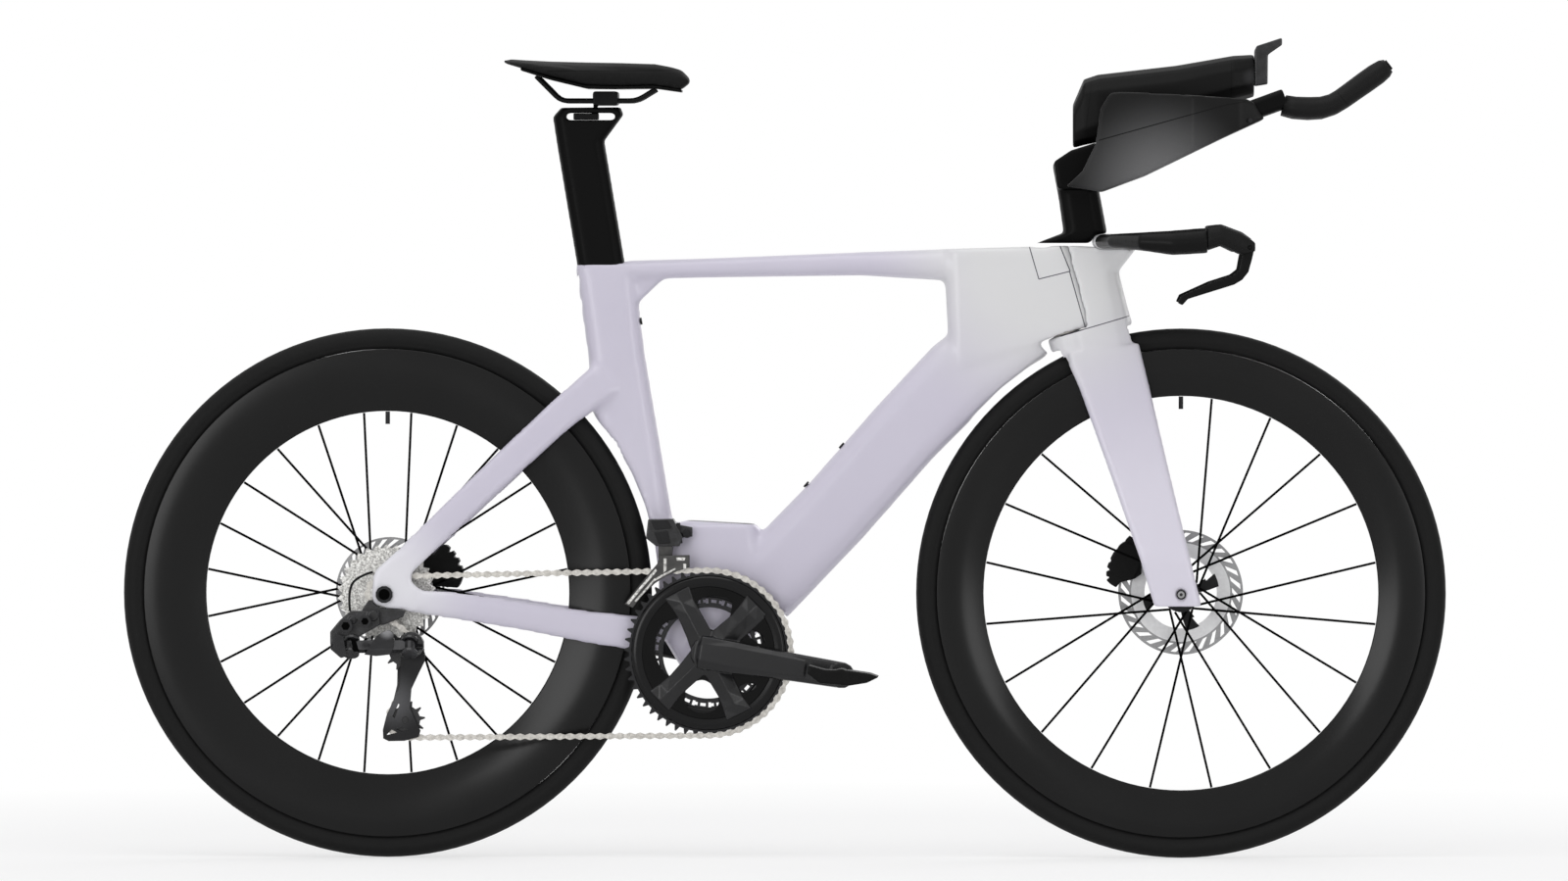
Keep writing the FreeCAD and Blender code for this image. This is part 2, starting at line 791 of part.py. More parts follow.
def make_storage_lid():
    return lid_block(0, -lid_thickness + seat_gap, 0)


def make_frame_bolts():
    bolts = []
    for place, up in frame_bolt_places():
        length = bolt_shank_length - seat_gap
        shank = flat_rod(bolt_shank_radius, place - up * length, up * length)
        head = flat_rod(bolt_head_radius, place, up * bolt_head_height)
        bolts.append(shank.fuse(head))
    return bolts


def make_bottom_bracket():
    """Two bearing cups pressed into the ends of the shell."""
    cup = flat_cross_rod(cup_radius, pedal_box_at, -shell_width / 2, -shell_width / 4)
    bore = flat_cross_bore(spindle_radius + shaft_gap, pedal_box_at, -shell_width / 2, -shell_width / 4)
    return both_sides(cup.cut(bore))


def make_headset_bearings():
    """Upper and lower bearing round the steerer."""
    rings = []
    for low in (seat_gap, upper_bearing_height):
        high = low + bearing_height - 2 * seat_gap
        ring = flat_rod(bearing_radius, steer_split + steer_up * low, steer_up * (high - low))
        foot = steer_split + steer_up * low
        rings.append(ring.cut(flat_bore(steerer_radius + shaft_gap, foot, steer_up * (high - low))))
    return rings


def rear_axle_half():
    return rear_hub_width / 2 + dropout_thickness + running_gap * 3


def make_axle(centre, half_width, head_radius):
    """A thru axle with a round head on the drive side."""
    rod = cross_rod(axle_radius, centre, -half_width, half_width)
    head = flat_cross_rod(head_radius, centre, -half_width - axle_head_height, -half_width)
    return rod.fuse(head).removeSplitter()


def make_caliper(wheel_at, place_shares, rotor_radius, rotor_line, tilt, holder):
    """A brake caliper round the edge of its rotor, seated on the piece that holds it."""
    reach, rise = place_shares
    along = Vector(math.cos(math.radians(tilt)), 0, math.sin(math.radians(tilt)))
    up = Vector(-along.z, 0, along.x)
    foot = wheel_at + Vector(reach * rotor_radius, rotor_line - caliper_width / 2, rise * rotor_radius)
    ring = rounded_ring(foot, along, up, caliper_length, caliper_height, caliper_corner)
    body = prism(ring, Vector(0, caliper_width, 0))
    near = rotor_line - caliper_slot / 2
    room = cross_rod(rotor_radius + caliper_slot / 2, wheel_at, near, near + caliper_slot)
    return body.cut([room, holder])


def make_seat_post():
    """Aero seat post with a forward head, a side slot for the saddle insert and a slot for its bolt."""
    shaft = post_prism(post_chord, post_width, -post_insert, post_rise * post_head_shares[0][0])
    rings = []
    for rear_rise, rear_reach, front_rise, front_reach in post_head_shares:
        rear = post_mouth + post_up * (rear_rise * post_rise) + post_ahead * (rear_reach * post_chord)
        front = post_mouth + post_up * (front_rise * post_rise) + post_ahead * (front_reach * post_chord)
        rings.append(tube_ring(rear, front, post_width, post_round_share))
    ends = slot_ends()
    radius = post_slot_height / 2
    corners = [ends[0] + Vector(0, 0, -radius), ends[1] + Vector(0, 0, -radius),
               ends[1] + Vector(0, 0, radius), ends[0] + Vector(0, 0, radius)]
    roof = [ends[0], ends[1], ends[1] + Vector(0, 0, post_rise), ends[0] + Vector(0, 0, post_rise)]
    half_bolt = insert_bolt_radius + seat_gap
    cuts = [plate(corners, -post_width, post_width), plate(roof, -half_bolt, half_bolt)]
    cuts = cuts + [cross_rod(radius, end, -post_width, post_width) for end in ends]
    return shaft.fuse(loft(rings)).cut(cuts).removeSplitter()


def slot_ends():
    rear, front, rise = post_slot_shares
    place = post_mouth + Vector(0, 0, rise * post_rise)
    return [place + Vector(rear * post_chord, 0, 0), place + Vector(front * post_chord, 0, 0)]


def rail_middle():
    reach, rise = rail_place_share
    return post_mouth + Vector(reach * post_chord, 0, rise * post_rise)


def make_saddle_clamp():
    """Insert that slides in the post slot, its bolt, and the block that grips both rails."""
    middle = rail_middle()
    ends = slot_ends()
    half_post = post_width / 2 - seat_gap
    insert_at = ends[0] + Vector(insert_place_share * insert_length, 0, 0)
    half_high = post_slot_height / 2 - running_gap
    half_long = insert_length / 2
    corners = []
    for ahead, rise in ((-1, -1), (1, -1), (1, 1), (-1, 1)):
        corners.append(insert_at + Vector(ahead * half_long, 0, rise * half_high))
    bolt_at = insert_at + Vector(insert_length * insert_bolt_share, 0, 0)
    bolt = flat_rod(insert_bolt_radius, bolt_at, Vector(0, 0, middle.z - bolt_at.z))
    half_wide = rail_spread + rail_radius + clamp_wall
    ring = rounded_ring(middle + Vector(0, -half_wide, clamp_lift), Vector(1, 0, 0), Vector(0, 0, 1),
                        clamp_length, clamp_height, clamp_wall)
    block = prism(ring, Vector(0, 2 * half_wide, 0))
    bores = []
    for side in (-1, 1):
        start = middle + Vector(-clamp_length, side * rail_spread, 0)
        bores.append(flat_bore(rail_radius + seat_gap, start, Vector(2 * clamp_length, 0, 0)))
    return plate(corners, -half_post, half_post).fuse([bolt, block]).cut(bores)


def saddle_place(x_share, z_share):
    return rail_middle() + Vector(x_share * saddle_length, 0, z_share * saddle_height)


def make_saddle_shell():
    rings = []
    for x_share, low_share, crown_share, half_share in saddle_shares[1:-1]:
        low = saddle_place(x_share, low_share)
        half = half_share * saddle_width * saddle_tuck_share
        rise = Vector(0, 0, saddle_shell_thickness)
        ring = [low + Vector(0, -half, 0), low + Vector(0, half, 0), low + Vector(0, half, 0) + rise,
                low + Vector(0, -half, 0) + rise]
        rings.append(ring)
    return loft(rings)


def make_saddle_rails(shell):
    """Two bent rods under the shell, ending against it at nose and tail."""
    rear_turn, rear_end, rear_rise = rail_rear_shares
    front_turn, front_end, front_rise = rail_front_shares
    rails = []
    for side in (-1, 1):
        shift = Vector(0, side * rail_spread, 0)
        route = [saddle_place(rear_end, rear_rise) + shift, saddle_place(rear_turn, 0) + shift,
                 saddle_place(front_turn, 0) + shift, saddle_place(front_end, front_rise) + shift]
        rails.append(bent_rod(route, rail_radius, rail_bend_reach).cut(shell))
    return rails


def bent_rod(route, radius, bend_reach):
    """A rod with flats along straight runs, turned at each corner over a few short steps."""
    places = [route[0]]
    for before, corner, after in zip(route, route[1:], route[2:]):
        enter = corner + (before - corner).normalize() * bend_reach
        leave = corner + (after - corner).normalize() * bend_reach
        for step in range(bend_steps + 1):
            share = step / bend_steps
            places.append(enter * (1 - share) ** 2 + corner * (2 * share * (1 - share)) + leave * share ** 2)
    places.append(route[-1])
    rings = []
    for number, place in enumerate(places):
        ahead = places[min(number + 1, len(places) - 1)] - places[max(number - 1, 0)]
        across = ahead.cross(sideways).normalize()
        out = ahead.cross(across).normalize()
        turns = [2 * math.pi * side / bent_rod_sides for side in range(bent_rod_sides)]
        rings.append([place + (across * math.cos(turn) + out * math.sin(turn)) * radius for turn in turns])
    return loft(rings)


def bowed(start, middle, end, steps):
    """Points on the arc through three places, without its last."""
    arc = Part.Arc(start, middle, end).toShape().Curve
    low = arc.parameter(start)
    high = arc.parameter(end)
    return [arc.value(low + (high - low) * number / steps) for number in range(steps)]


def make_saddle_pad():
    """Soft pad with a crowned top, drawn-in sides and a drooping nose."""
    rings = []
    for x_share, low_share, crown_share, half_share in saddle_shares:
        low = saddle_place(x_share, low_share) + Vector(0, 0, saddle_shell_thickness + seat_gap)
        top = saddle_place(x_share, crown_share)
        half = half_share * saddle_width
        tuck = Vector(0, half * saddle_tuck_share, 0)
        brow = Vector(0, half * saddle_brow_share, 0)
        edge = low + (top - low) * saddle_edge_share
        belly = low + (top - low) * (saddle_edge_share / 2)
        left = Vector(0, half, 0)
        ring = bowed(low + tuck, belly + left, edge + brow, 2)
        ring = ring + bowed(edge + brow, top, edge - brow, crown_steps)
        ring = ring + bowed(edge - brow, belly - left, low - tuck, 2) + [low - tuck]
        rings.append(ring)
    return loft(rings)


def make_tyre(centre):
    half = tyre_width / 2
    height = tyre_radius - tyre_seat_radius
    side = [(tyre_seat_radius + seat_gap + height * rise, half * wide) for rise, wide in tyre_shares[:-1]]
    crown_rise, crown_wide = tyre_shares[-1]
    side.append((tyre_seat_radius + height * crown_rise, half * crown_wide))
    return revolved(side + [(radius, -place) for radius, place in reversed(side)], centre, wheel_sides)


def make_rim(centre, inner_radius):
    half = rim_width / 2
    depth = tyre_seat_radius - inner_radius
    side = [(inner_radius + depth * rise, half * wide) for rise, wide in rim_shares]
    return revolved(side + [(radius, -place) for radius, place in reversed(side)], centre, wheel_sides)


def rim_inside(inner_radius):
    """Radius that just clears the flats inside a rim."""
    return inner_radius * math.cos(math.pi / wheel_sides) - seat_gap


def make_spokes(centre, inner_radius, count, turns, right, left):
    """Flat spokes, tangent to the hub, from the two flanges in turn."""
    spokes = []
    rim_end = rim_inside(inner_radius)
    hub_end = flange_radius + running_gap
    swing = math.acos(spoke_offset / rim_end) - math.acos(spoke_offset / hub_end)
    for number in range(count):
        angle = math.radians((number + 0.5) * 360 / count)
        hub_angle = angle + turns[number % len(turns)] * swing
        side = -right if number % 2 == 0 else left
        near = centre + Vector(hub_end * math.cos(hub_angle), side, hub_end * math.sin(hub_angle))
        far = centre + Vector(rim_end * math.cos(angle), 0, rim_end * math.sin(angle))
        run = far - near
        flat = run.cross(sideways).normalize() * (spoke_width / 2)
        thin = run.cross(flat).normalize() * (spoke_thickness / 2)
        ring = [near + flat + thin, near - flat + thin, near - flat - thin, near + flat - thin]
        spokes.append(prism(ring, run))
    return spokes


def make_hub(centre, hub_width, right, left, rotor_place):
    """Turned hub shell with two flanges and a rotor seat."""
    end = hub_width / 2 - running_gap
    slope = 2 * flange_thickness
    seat = rotor_place - rotor_thickness / 2 - seat_gap
    bore = axle_radius + running_gap
    profile = [(bore, -end), (end_cap_radius, -end), (end_cap_radius, -right - flange_thickness), (flange_radius, -right),
               (hub_radius, -right + slope), (hub_radius, left - slope), (flange_radius, left), (hub_radius, seat),
               (end_cap_radius, seat), (end_cap_radius, end), (bore, end)]
    return revolved(profile, centre, hub_sides)


def make_rotor(centre, radius, place):
    """Vented brake disc: a slotted band on slim arms round a core."""
    near = place - rotor_thickness / 2
    far = place + rotor_thickness / 2
    band_inner = radius - rotor_band
    band = flat_cross_rod(radius, centre, near, far, rotor_sides)
    band = band.cut(flat_cross_rod(band_inner, centre, near, far, rotor_sides))
    core = flat_cross_rod(rotor_core_radius, centre, near, far)
    half = rotor_arm_width / 2
    lap = rotor_band / 4
    pieces = [core]
    for number in range(rotor_arm_count):
        points = [Vector(0, 0, -half), Vector(band_inner + lap, 0, -half), Vector(band_inner + lap, 0, half),
                  Vector(0, 0, half)]
        arm = plate([centre + point for point in points], near, far)
        pieces.append(turned(arm, centre, number * 360 / rotor_arm_count))
    slots = [cross_rod(rotor_hole_radius, centre, near, far)]
    long_half = rotor_slot_length / 2
    wide_half = rotor_slot_width / 2
    for number in range(rotor_slot_count):
        at = centre + Vector(radius - rotor_band / 2, 0, 0)
        points = [Vector(-long_half, 0, -wide_half), Vector(long_half, 0, -wide_half),
                  Vector(long_half, 0, wide_half), Vector(-long_half, 0, wide_half)]
        slot = plate([at + point for point in points], near - cut_overrun, far + cut_overrun)
        slot = turned(slot, at, rotor_slot_slant)
        slots.append(turned(slot, centre, (number + 0.5) * 360 / rotor_slot_count))
    return band.fuse(pieces).cut(slots)


def make_valve(centre, inner_radius):
    foot = centre + Vector(0, 0, rim_inside(inner_radius))
    return flat_rod(valve_radius, foot, Vector(0, 0, -valve_length))


def pitch_radius(teeth):
    return chain_pitch / (2 * math.sin(math.pi / teeth))


def sprocket(teeth, centre, line, pin_angle, bore):
    """Toothed wheel with a valley at the given angle, for rollers of the chain."""
    radius = pitch_radius(teeth)
    root = radius - tooth_root_depth
    tip = radius + tooth_tip_rise
    step = 2 * math.pi / teeth
    valley = math.asin(tooth_valley_half / root)
    land = tooth_tip_half / tip
    points = []
    for number in range(teeth):
        middle = pin_angle + number * step
        for reach, angle in ((root, middle - valley), (root, middle + valley),
                             (tip, middle + step / 2 - land), (tip, middle + step / 2 + land)):
            points.append(centre + Vector(reach * math.cos(angle), 0, reach * math.sin(angle)))
    near = line - sprocket_thickness / 2
    far = line + sprocket_thickness / 2
    return plate(points, near, far).cut(bore)


def spare_sprocket(teeth, centre, line, bore):
    """Toothed wheel that carries no chain, with plain pointed teeth."""
    radius = pitch_radius(teeth)
    points = []
    for number in range(2 * teeth):
        reach = radius + tooth_tip_rise if number % 2 else radius - tooth_root_depth
        angle = number * math.pi / teeth
        points.append(centre + Vector(reach * math.cos(angle), 0, reach * math.sin(angle)))
    near = line - sprocket_thickness / 2
    return plate(points, near, near + sprocket_thickness).cut(bore)


def tangent(first, second):
    """Straight chain run between two wheels, each a centre, a radius and a sense of turn."""
    apart = second[0] - first[0]
    signed = second[1] * second[2] - first[1] * first[2]
    heading = math.atan2(apart.z, apart.x) - math.asin(signed / apart.Length)
    left = Vector(-math.sin(heading), 0, math.cos(heading))
    return first[0] - left * (first[1] * first[2]), second[0] - left * (second[1] * second[2])


def cage_places(turn):
    """Guide and tension pulley centres with the cage turned about its pivot, in radians."""
    pivot = knuckle_pivot()
    places = []
    for reach, angle in ((guide_offset, guide_angle), (cage_length, tension_angle)):
        heading = math.radians(angle) + turn
        places.append(pivot + Vector(reach * math.cos(heading), 0, reach * math.sin(heading)))
    return places


def chain_path(turn):
    """The wheels in the order the chain meets them, and the straight runs between them."""
    guide, tension = cage_places(turn)
    pulley = pitch_radius(pulley_teeth)
    wheels = [
        (pedal_box_at, pitch_radius(big_ring_teeth), -1, -big_ring_line),
        (tension, pulley, -1, -sprocket_line),
        (guide, pulley, 1, -sprocket_line),
        (rear_axle_at, pitch_radius(cassette_teeth[0]), -1, -sprocket_line),
    ]
    runs = [tangent(wheel, wheels[(number + 1) % len(wheels)]) for number, wheel in enumerate(wheels)]
    return wheels, runs


def path_spans(turn):
    """Spans of the chain line in order: an arc on each wheel, then the run to the next."""
    wheels, runs = chain_path(turn)
    spans = []
    for number, wheel in enumerate(wheels):
        enter = runs[number - 1][1] - wheel[0]
        leave = runs[number][0] - wheel[0]
        start = math.atan2(enter.z, enter.x)
        sweep = (math.atan2(leave.z, leave.x) - start) * wheel[2] % (2 * math.pi)
        spans.append(("arc", wheel, start, sweep * wheel[1]))
        next_line = wheels[(number + 1) % len(wheels)][3]
        run = runs[number]
        spans.append(("run", run, (wheel[3], next_line), (run[1] - run[0]).Length))
    return spans


def path_point(spans, distance):
    """Place on the chain line at a distance from its start."""
    total = sum(span[3] for span in spans)
    distance = distance % total
    for kind, what, extra, length in spans:
        if distance <= length:
            break
        distance = distance - length
    if kind == "arc":
        centre, radius, sense, line = what
        angle = extra + sense * distance / radius
        return centre + Vector(radius * math.cos(angle), line, radius * math.sin(angle))
    place = what[0] + (what[1] - what[0]) * (distance / length)
    lead = min(chain_lead, length / 3)
    share = min(max((distance - lead) / (length - 2 * lead), 0), 1)
    return Vector(place.x, extra[0] + (extra[1] - extra[0]) * share, place.z)


def flat_distance(one, two):
    return math.hypot(one.x - two.x, one.z - two.z)


def chain_walk(turn, links):
    """Pin places one pitch apart along the chain line, and how far the last overshoots the loop."""
    spans = path_spans(turn)
    total = sum(span[3] for span in spans)
    pins = [path_point(spans, 0)]
    distance = 0
    for number in range(links):
        low = distance + chain_pitch * 0.9
        high = distance + chain_pitch * 1.2
        for step in range(40):
            middle = (low + high) / 2
            if flat_distance(path_point(spans, middle), pins[-1]) < chain_pitch:
                low = middle
            else:
                high = middle
        distance = middle
        pins.append(path_point(spans, distance))
    return pins, distance - total


def chain_links():
    """Even count of links that fits the loop best with the cage at its shown angle."""
    total = sum(span[3] for span in path_spans(0))
    return 2 * round(total / chain_pitch / 2)


def settle_cage():
    """Cage angle at which the loop closes, found by halving the interval."""
    links = chain_links()
    low = -cage_search
    high = cage_search
    low_side = chain_walk(low, links)[1] > 0
    for step in range(40):
        middle = (low + high) / 2
        if (chain_walk(middle, links)[1] > 0) == low_side:
            low = middle
        else:
            high = middle
    return middle


def pin_angle_on(pins, centre, radius):
    """Angle of a chain pin that lies on a wheel."""
    nearest = min(pins, key=lambda pin: abs(flat_distance(pin, centre) - radius) + abs(pin.x - centre.x) * 1e-6)
    return math.atan2(nearest.z - centre.z, nearest.x - centre.x)


def link_plate(start, end, near, far, outer):
    """One side plate of a chain link; an outer one is pointed and an inner one a plain bar."""
    run = end - start
    along = run * (1 / run.Length)
    up = along.cross(sideways).normalize()
    waist = chain_plate_half
    nose = chain_plate_overhang
    shoulder = nose * plate_shoulder_share
    after = run.Length + shoulder
    corners = [(-shoulder, -waist), (after, -waist), (after, waist), (-shoulder, waist)]
    if outer:
        corners.insert(2, (run.Length + nose, 0))
        corners.append((-nose, 0))
    ring = [start + along * reach + up * rise + sideways * near for reach, rise in corners]
    return prism(ring, sideways * (far - near))


def roller(pin):
    """Four-sided stand-in for a turned roller."""
    start = pin - Vector(0, chain_inner_half, 0)
    return flat_rod(roller_radius, start, Vector(0, 2 * chain_inner_half, 0), 4)


def make_chain(pins):
    """Roller chain of inner links with their rollers and outer links of two plates."""
    solids = []
    inner_far = chain_inner_half + chain_plate_thickness
    outer_near = inner_far + chain_plate_gap
    for number, (start, end) in enumerate(zip(pins, pins[1:])):
        if number % 2 == 0:
            solids.append(link_plate(start, end, chain_inner_half, inner_far, False))
            solids.append(link_plate(start, end, -inner_far, -chain_inner_half, False))
            solids.append(roller(start))
            solids.append(roller(end))
        else:
            outer_far = outer_near + chain_plate_thickness
            solids.append(link_plate(start, end, outer_near, outer_far, True))
            solids.append(link_plate(start, end, -outer_far, -outer_near, True))
    return solids


def make_cassette(pins):
    """Twelve sprockets and a lockring on a splined freehub body."""
    inner_line = -sprocket_line + sprocket_pitch_step * (len(cassette_teeth) - 1)
    outer_end = -sprocket_line - sprocket_thickness / 2
    inner_end = inner_line + sprocket_thickness
    room_end = outer_end - 2 * lockring_thickness
    room = flat_cross_bore(end_cap_radius + running_gap, rear_axle_at, room_end, inner_end)
    spline = flat_cross_rod(freehub_radius + seat_gap, rear_axle_at, outer_end, inner_end)
    angle = pin_angle_on(pins, rear_axle_at, pitch_radius(cassette_teeth[0]))
    solids = [flat_cross_rod(freehub_radius, rear_axle_at, outer_end, inner_end).cut(room)]
    solids.append(sprocket(cassette_teeth[0], rear_axle_at, -sprocket_line, angle, spline))
    for number, teeth in enumerate(cassette_teeth[1:], 1):
        line = -sprocket_line + sprocket_pitch_step * number
        solids.append(spare_sprocket(teeth, rear_axle_at, line, spline))
    lock_end = outer_end - seat_gap
    lock = flat_cross_rod(lockring_radius, rear_axle_at, lock_end - lockring_thickness, lock_end)
    return solids + [lock.cut(room)]


def make_pulley(centre, pins):
    angle = pin_angle_on(pins, centre, pitch_radius(pulley_teeth))
    bore = cross_rod(mech_pin_radius + shaft_gap, centre, -2 * sprocket_line, 0)
    return sprocket(pulley_teeth, centre, -sprocket_line, angle, bore)


def knuckle_pivot():
    reach, rise = knuckle_share
    return rear_axle_at + Vector(reach * motor_reach, 0, rise * motor_reach)


def link_root():
    reach, rise = link_root_share
    return rear_axle_at + Vector(reach * motor_reach, -link_line, rise * motor_reach)


def link_tip():
    return link_root() + Vector(link_length, 0, 0)


slant = math.radians(mech_slant)
link_axis = Vector(0, math.sin(slant), math.cos(slant))
link_depth = Vector(0, math.cos(slant), -math.sin(slant))


def link_rod(place, radius, low, high):
    return Part.makeCylinder(radius, high - low, place + link_axis * low, link_axis)


def link_lug(place, radius, half):
    return flat_rod(radius, place - link_axis * half, link_axis * (2 * half))


def link_slab(grow):
    """Room between the lugs at both ends of the swinging link."""
    half = link_height / 2 + grow
    room = link_length + link_clear
    start = link_root() - link_axis * half + Vector(-link_length, 0, 0) - link_depth * link_length
    ring = [start, start + Vector(3 * link_length, 0, 0), start + Vector(3 * link_length, 0, 0) + link_depth * room,
            start + link_depth * room]
    return prism(ring, link_axis * (2 * half))


def make_derailleur_hanger(frame):
    points = [rear_axle_at + Vector(x * hanger_reach, 0, z * hanger_reach) for x, z in hanger_shares]
    inner = rear_hub_width / 2
    body = plate(points, -inner - dropout_thickness, -inner - seat_gap)
    return body.cut(frame)


def make_derailleur_body():
    """Base knuckle and motor housing, with lugs and a pin for the swinging link."""
    outer = rear_hub_width / 2 + dropout_thickness + seat_gap
    points = [rear_axle_at + Vector(x * motor_reach, 0, z * motor_reach) for x, z in motor_shares]
    body = plate(points, -outer - motor_depth, -outer)
    lug_half = link_height / 2 + lug_thickness
    body = body.fuse(link_lug(link_root(), lug_radius, lug_half))
    heads = []
    for reach, rise, radius in mech_bolt_shares:
        place = rear_axle_at + Vector(reach * motor_reach, 0, rise * motor_reach)
        face = -outer - motor_depth
        heads.append(flat_cross_rod(radius * motor_reach, place, face - bolt_head_height, face))
    pin = link_rod(link_root(), mech_pin_radius, -lug_half, lug_half)
    return body.cut(link_slab(running_gap)).fuse(heads + [pin])


def make_derailleur_link():
    """Parallelogram arm with an eye at each end."""
    half = link_height / 2
    bores = []
    eyes = []
    for place in (link_root(), link_tip()):
        eyes.append(link_lug(place, lug_radius * eye_share, half))
        bores.append(link_rod(place, mech_pin_radius + shaft_gap, -half, half))
    start = link_root() - link_axis * half - link_depth * (link_thickness / 2)
    ring = [start, start + Vector(link_length, 0, 0), start + Vector(link_length, 0, 0) + link_depth * link_thickness,
            start + link_depth * link_thickness]
    arm = prism(ring, link_axis * (2 * half))
    return arm.fuse(eyes).cut(bores)


def make_derailleur_knuckle():
    """Lower knuckle: a barrel round the cage pivot, with lugs and a pin for the link."""
    near = sprocket_line + cage_half_gap + cage_thickness + knuckle_gap
    barrel = flat_cross_rod(knuckle_radius, knuckle_pivot(), -near - knuckle_length, -near)
    lug_half = link_height / 2 + lug_thickness
    lugs = link_lug(link_tip(), lug_radius, lug_half)
    pin = link_rod(link_tip(), mech_pin_radius, -lug_half, lug_half)
    bore = cross_rod(mech_pin_radius * 2 + shaft_gap, knuckle_pivot(), -near - knuckle_length * pivot_share, -near)
    return barrel.fuse(lugs).cut([link_slab(running_gap), bore]).fuse(pin)


def make_derailleur_cage(turn):
    """Two cage plates with the pins of both pulleys and the pivot of the knuckle."""
    pivot = knuckle_pivot()
    guide, tension = cage_places(0)
    outer = sprocket_line + cage_half_gap
    inner = sprocket_line - cage_half_gap
    points = [pivot + Vector(x * cage_length, 0, z * cage_length) for x, z in cage_shares]
    front = plate(points, -outer - cage_thickness, -outer)
    half = pulley_plate_share * pitch_radius(pulley_teeth)
    across = (tension - guide).cross(sideways).normalize() * half
    back = plate([guide + across, guide - across, tension - across, tension + across], -inner, -inner + cage_thickness)
    rounds = []
    for place in (guide, tension):
        rounds.append(flat_cross_rod(half, place, -inner, -inner + cage_thickness))
        rounds.append(cross_rod(mech_pin_radius, place, -outer, -inner))
    reach = outer + cage_thickness + knuckle_gap + knuckle_length * pivot_share - seat_gap
    rounds.append(cross_rod(mech_pin_radius * 2, pivot, -reach, -outer))
    windows = []
    for x, z, radius in cage_window_shares:
        place = pivot + Vector(x * cage_length, 0, z * cage_length)
        windows.append(flat_cross_rod(radius * cage_length, place, -outer - cage_thickness, -outer))
    cage = front.cut(windows).fuse([back] + rounds)
    return turned(cage, pivot, -math.degrees(turn))


def make_derailleur_wire(frame, body):
    route = []
    for number, (x, z) in enumerate(wire_shares):
        inward = number / (len(wire_shares) - 1)
        line = rear_hub_width / 2 + dropout_thickness / 2 + inward * dropout_thickness
        route.append(rear_axle_at + Vector(x * motor_reach, -line, z * motor_reach))
    return bent_rod(route, wire_radius, wire_bend_reach).cut([frame, body])


def changer_pin():
    return pedal_box_at + Vector(-changer_set_back, -changer_pin_line, changer_pin_rise)


def make_front_derailleur(frame):
    """Motor body of the front derailleur on its bracket, with lugs for the cage pin."""
    place = pedal_box_at + Vector(-changer_set_back, 0, changer_rise)
    points = [place + Vector(x * changer_length, 0, z * changer_height) for x, z in changer_shares]
    bracket = [place + Vector(x * changer_length, 0, z * changer_height) for x, z in changer_bracket_shares]
    body = plate(points, -changer_outer, -seat_tube_width / 4)
    body = body.fuse(plate(bracket, -changer_outer + changer_depth / 2, -seat_tube_width / 4))
    pin = changer_pin()
    half = changer_length * changer_arm_share + running_gap
    room = changer_pin_radius * 3
    gap = Part.makeBox(2 * half, 2 * room, room * 4, pin + Vector(-half, -room, -room * 3))
    run = Vector(changer_length * 2, 0, 0)
    bore = flat_bore(changer_pin_radius + shaft_gap, pin - run * 0.5, run)
    return body.cut([gap, bore, frame])


def sector(inner, outer, low, high, near, far):
    """A curved plate about the pedal axis, between two angles in degrees."""
    points = []
    steps = 6
    for number in range(steps + 1):
        angle = math.radians(low + (high - low) * number / steps)
        points.append(pedal_box_at + Vector(outer * math.cos(angle), 0, outer * math.sin(angle)))
    for number in range(steps, -1, -1):
        angle = math.radians(low + (high - low) * number / steps)
        points.append(pedal_box_at + Vector(inner * math.cos(angle), 0, inner * math.sin(angle)))
    return plate(points, near, far)


def make_front_derailleur_cage():
    """Two curved plates over the chain, bridged at both ends, on an arm with its pin."""
    low, high = cage_sector
    outer_line = -big_ring_line - cage_plate_gap
    inner_line = -big_ring_line + cage_plate_gap
    plates = [
        sector(cage_inner_radius, cage_outer_radius, low, high, outer_line - cage_plate_thickness, outer_line),
        sector(cage_inner_radius, cage_outer_radius, low, high, inner_line, inner_line + cage_plate_thickness),
        sector(cage_outer_radius - cage_plate_thickness, cage_outer_radius + cage_bridge_rise, low, low + cage_bridge_angle,
               outer_line - cage_plate_thickness, inner_line + cage_plate_thickness),
        sector(cage_inner_radius, cage_outer_radius, high - cage_bridge_angle / 3, high, outer_line, inner_line),
    ]
    pin = changer_pin()
    half = changer_length * changer_arm_share
    thick = changer_pin_radius * 2
    arm_low = pedal_box_at.z + cage_outer_radius
    arm = Part.makeBox(2 * half, thick * 2, pin.z + thick - arm_low, Vector(pin.x - half, pin.y - thick, arm_low))
    foot = Part.makeBox(2 * half, pin.y - outer_line, cage_bridge_rise / 2, Vector(pin.x - half, outer_line, arm_low))
    rod = Part.makeCylinder(changer_pin_radius, 2 * changer_pin_half, pin - Vector(changer_pin_half, 0, 0), Vector(1, 0, 0))
    return plates[0].fuse(plates[1:] + [arm, foot, rod])


def crank_heading():
    angle = math.radians(crank_drop_angle)
    return Vector(math.cos(angle), 0, -math.sin(angle))


def pedal_place():
    return pedal_box_at + crank_heading() * crank_length


def arm_blade():
    """Plain crank arm of the drive side, from the spindle to the pedal eye."""
    along = crank_heading()
    up = Vector(-along.z, 0, along.x)
    rings = []
    ends = ((pedal_box_at, arm_root_inner, arm_root_height), (pedal_place(), arm_tip_inner, arm_tip_height))
    for place, inner, height in ends:
        middle = place + Vector(0, -inner - arm_thickness / 2, 0)
        rings.append(rounded_ring(middle, up, sideways, height, arm_thickness, arm_thickness * arm_round_share))
    eye = flat_cross_rod(arm_tip_height / 2, pedal_place(), -arm_tip_inner - arm_thickness, -arm_tip_inner)
    inner_face = -shell_width / 2 - 2 * running_gap
    root = flat_cross_rod(arm_boss_radius, pedal_box_at, -arm_root_inner - arm_thickness, inner_face)
    return loft(rings).fuse([eye, root])


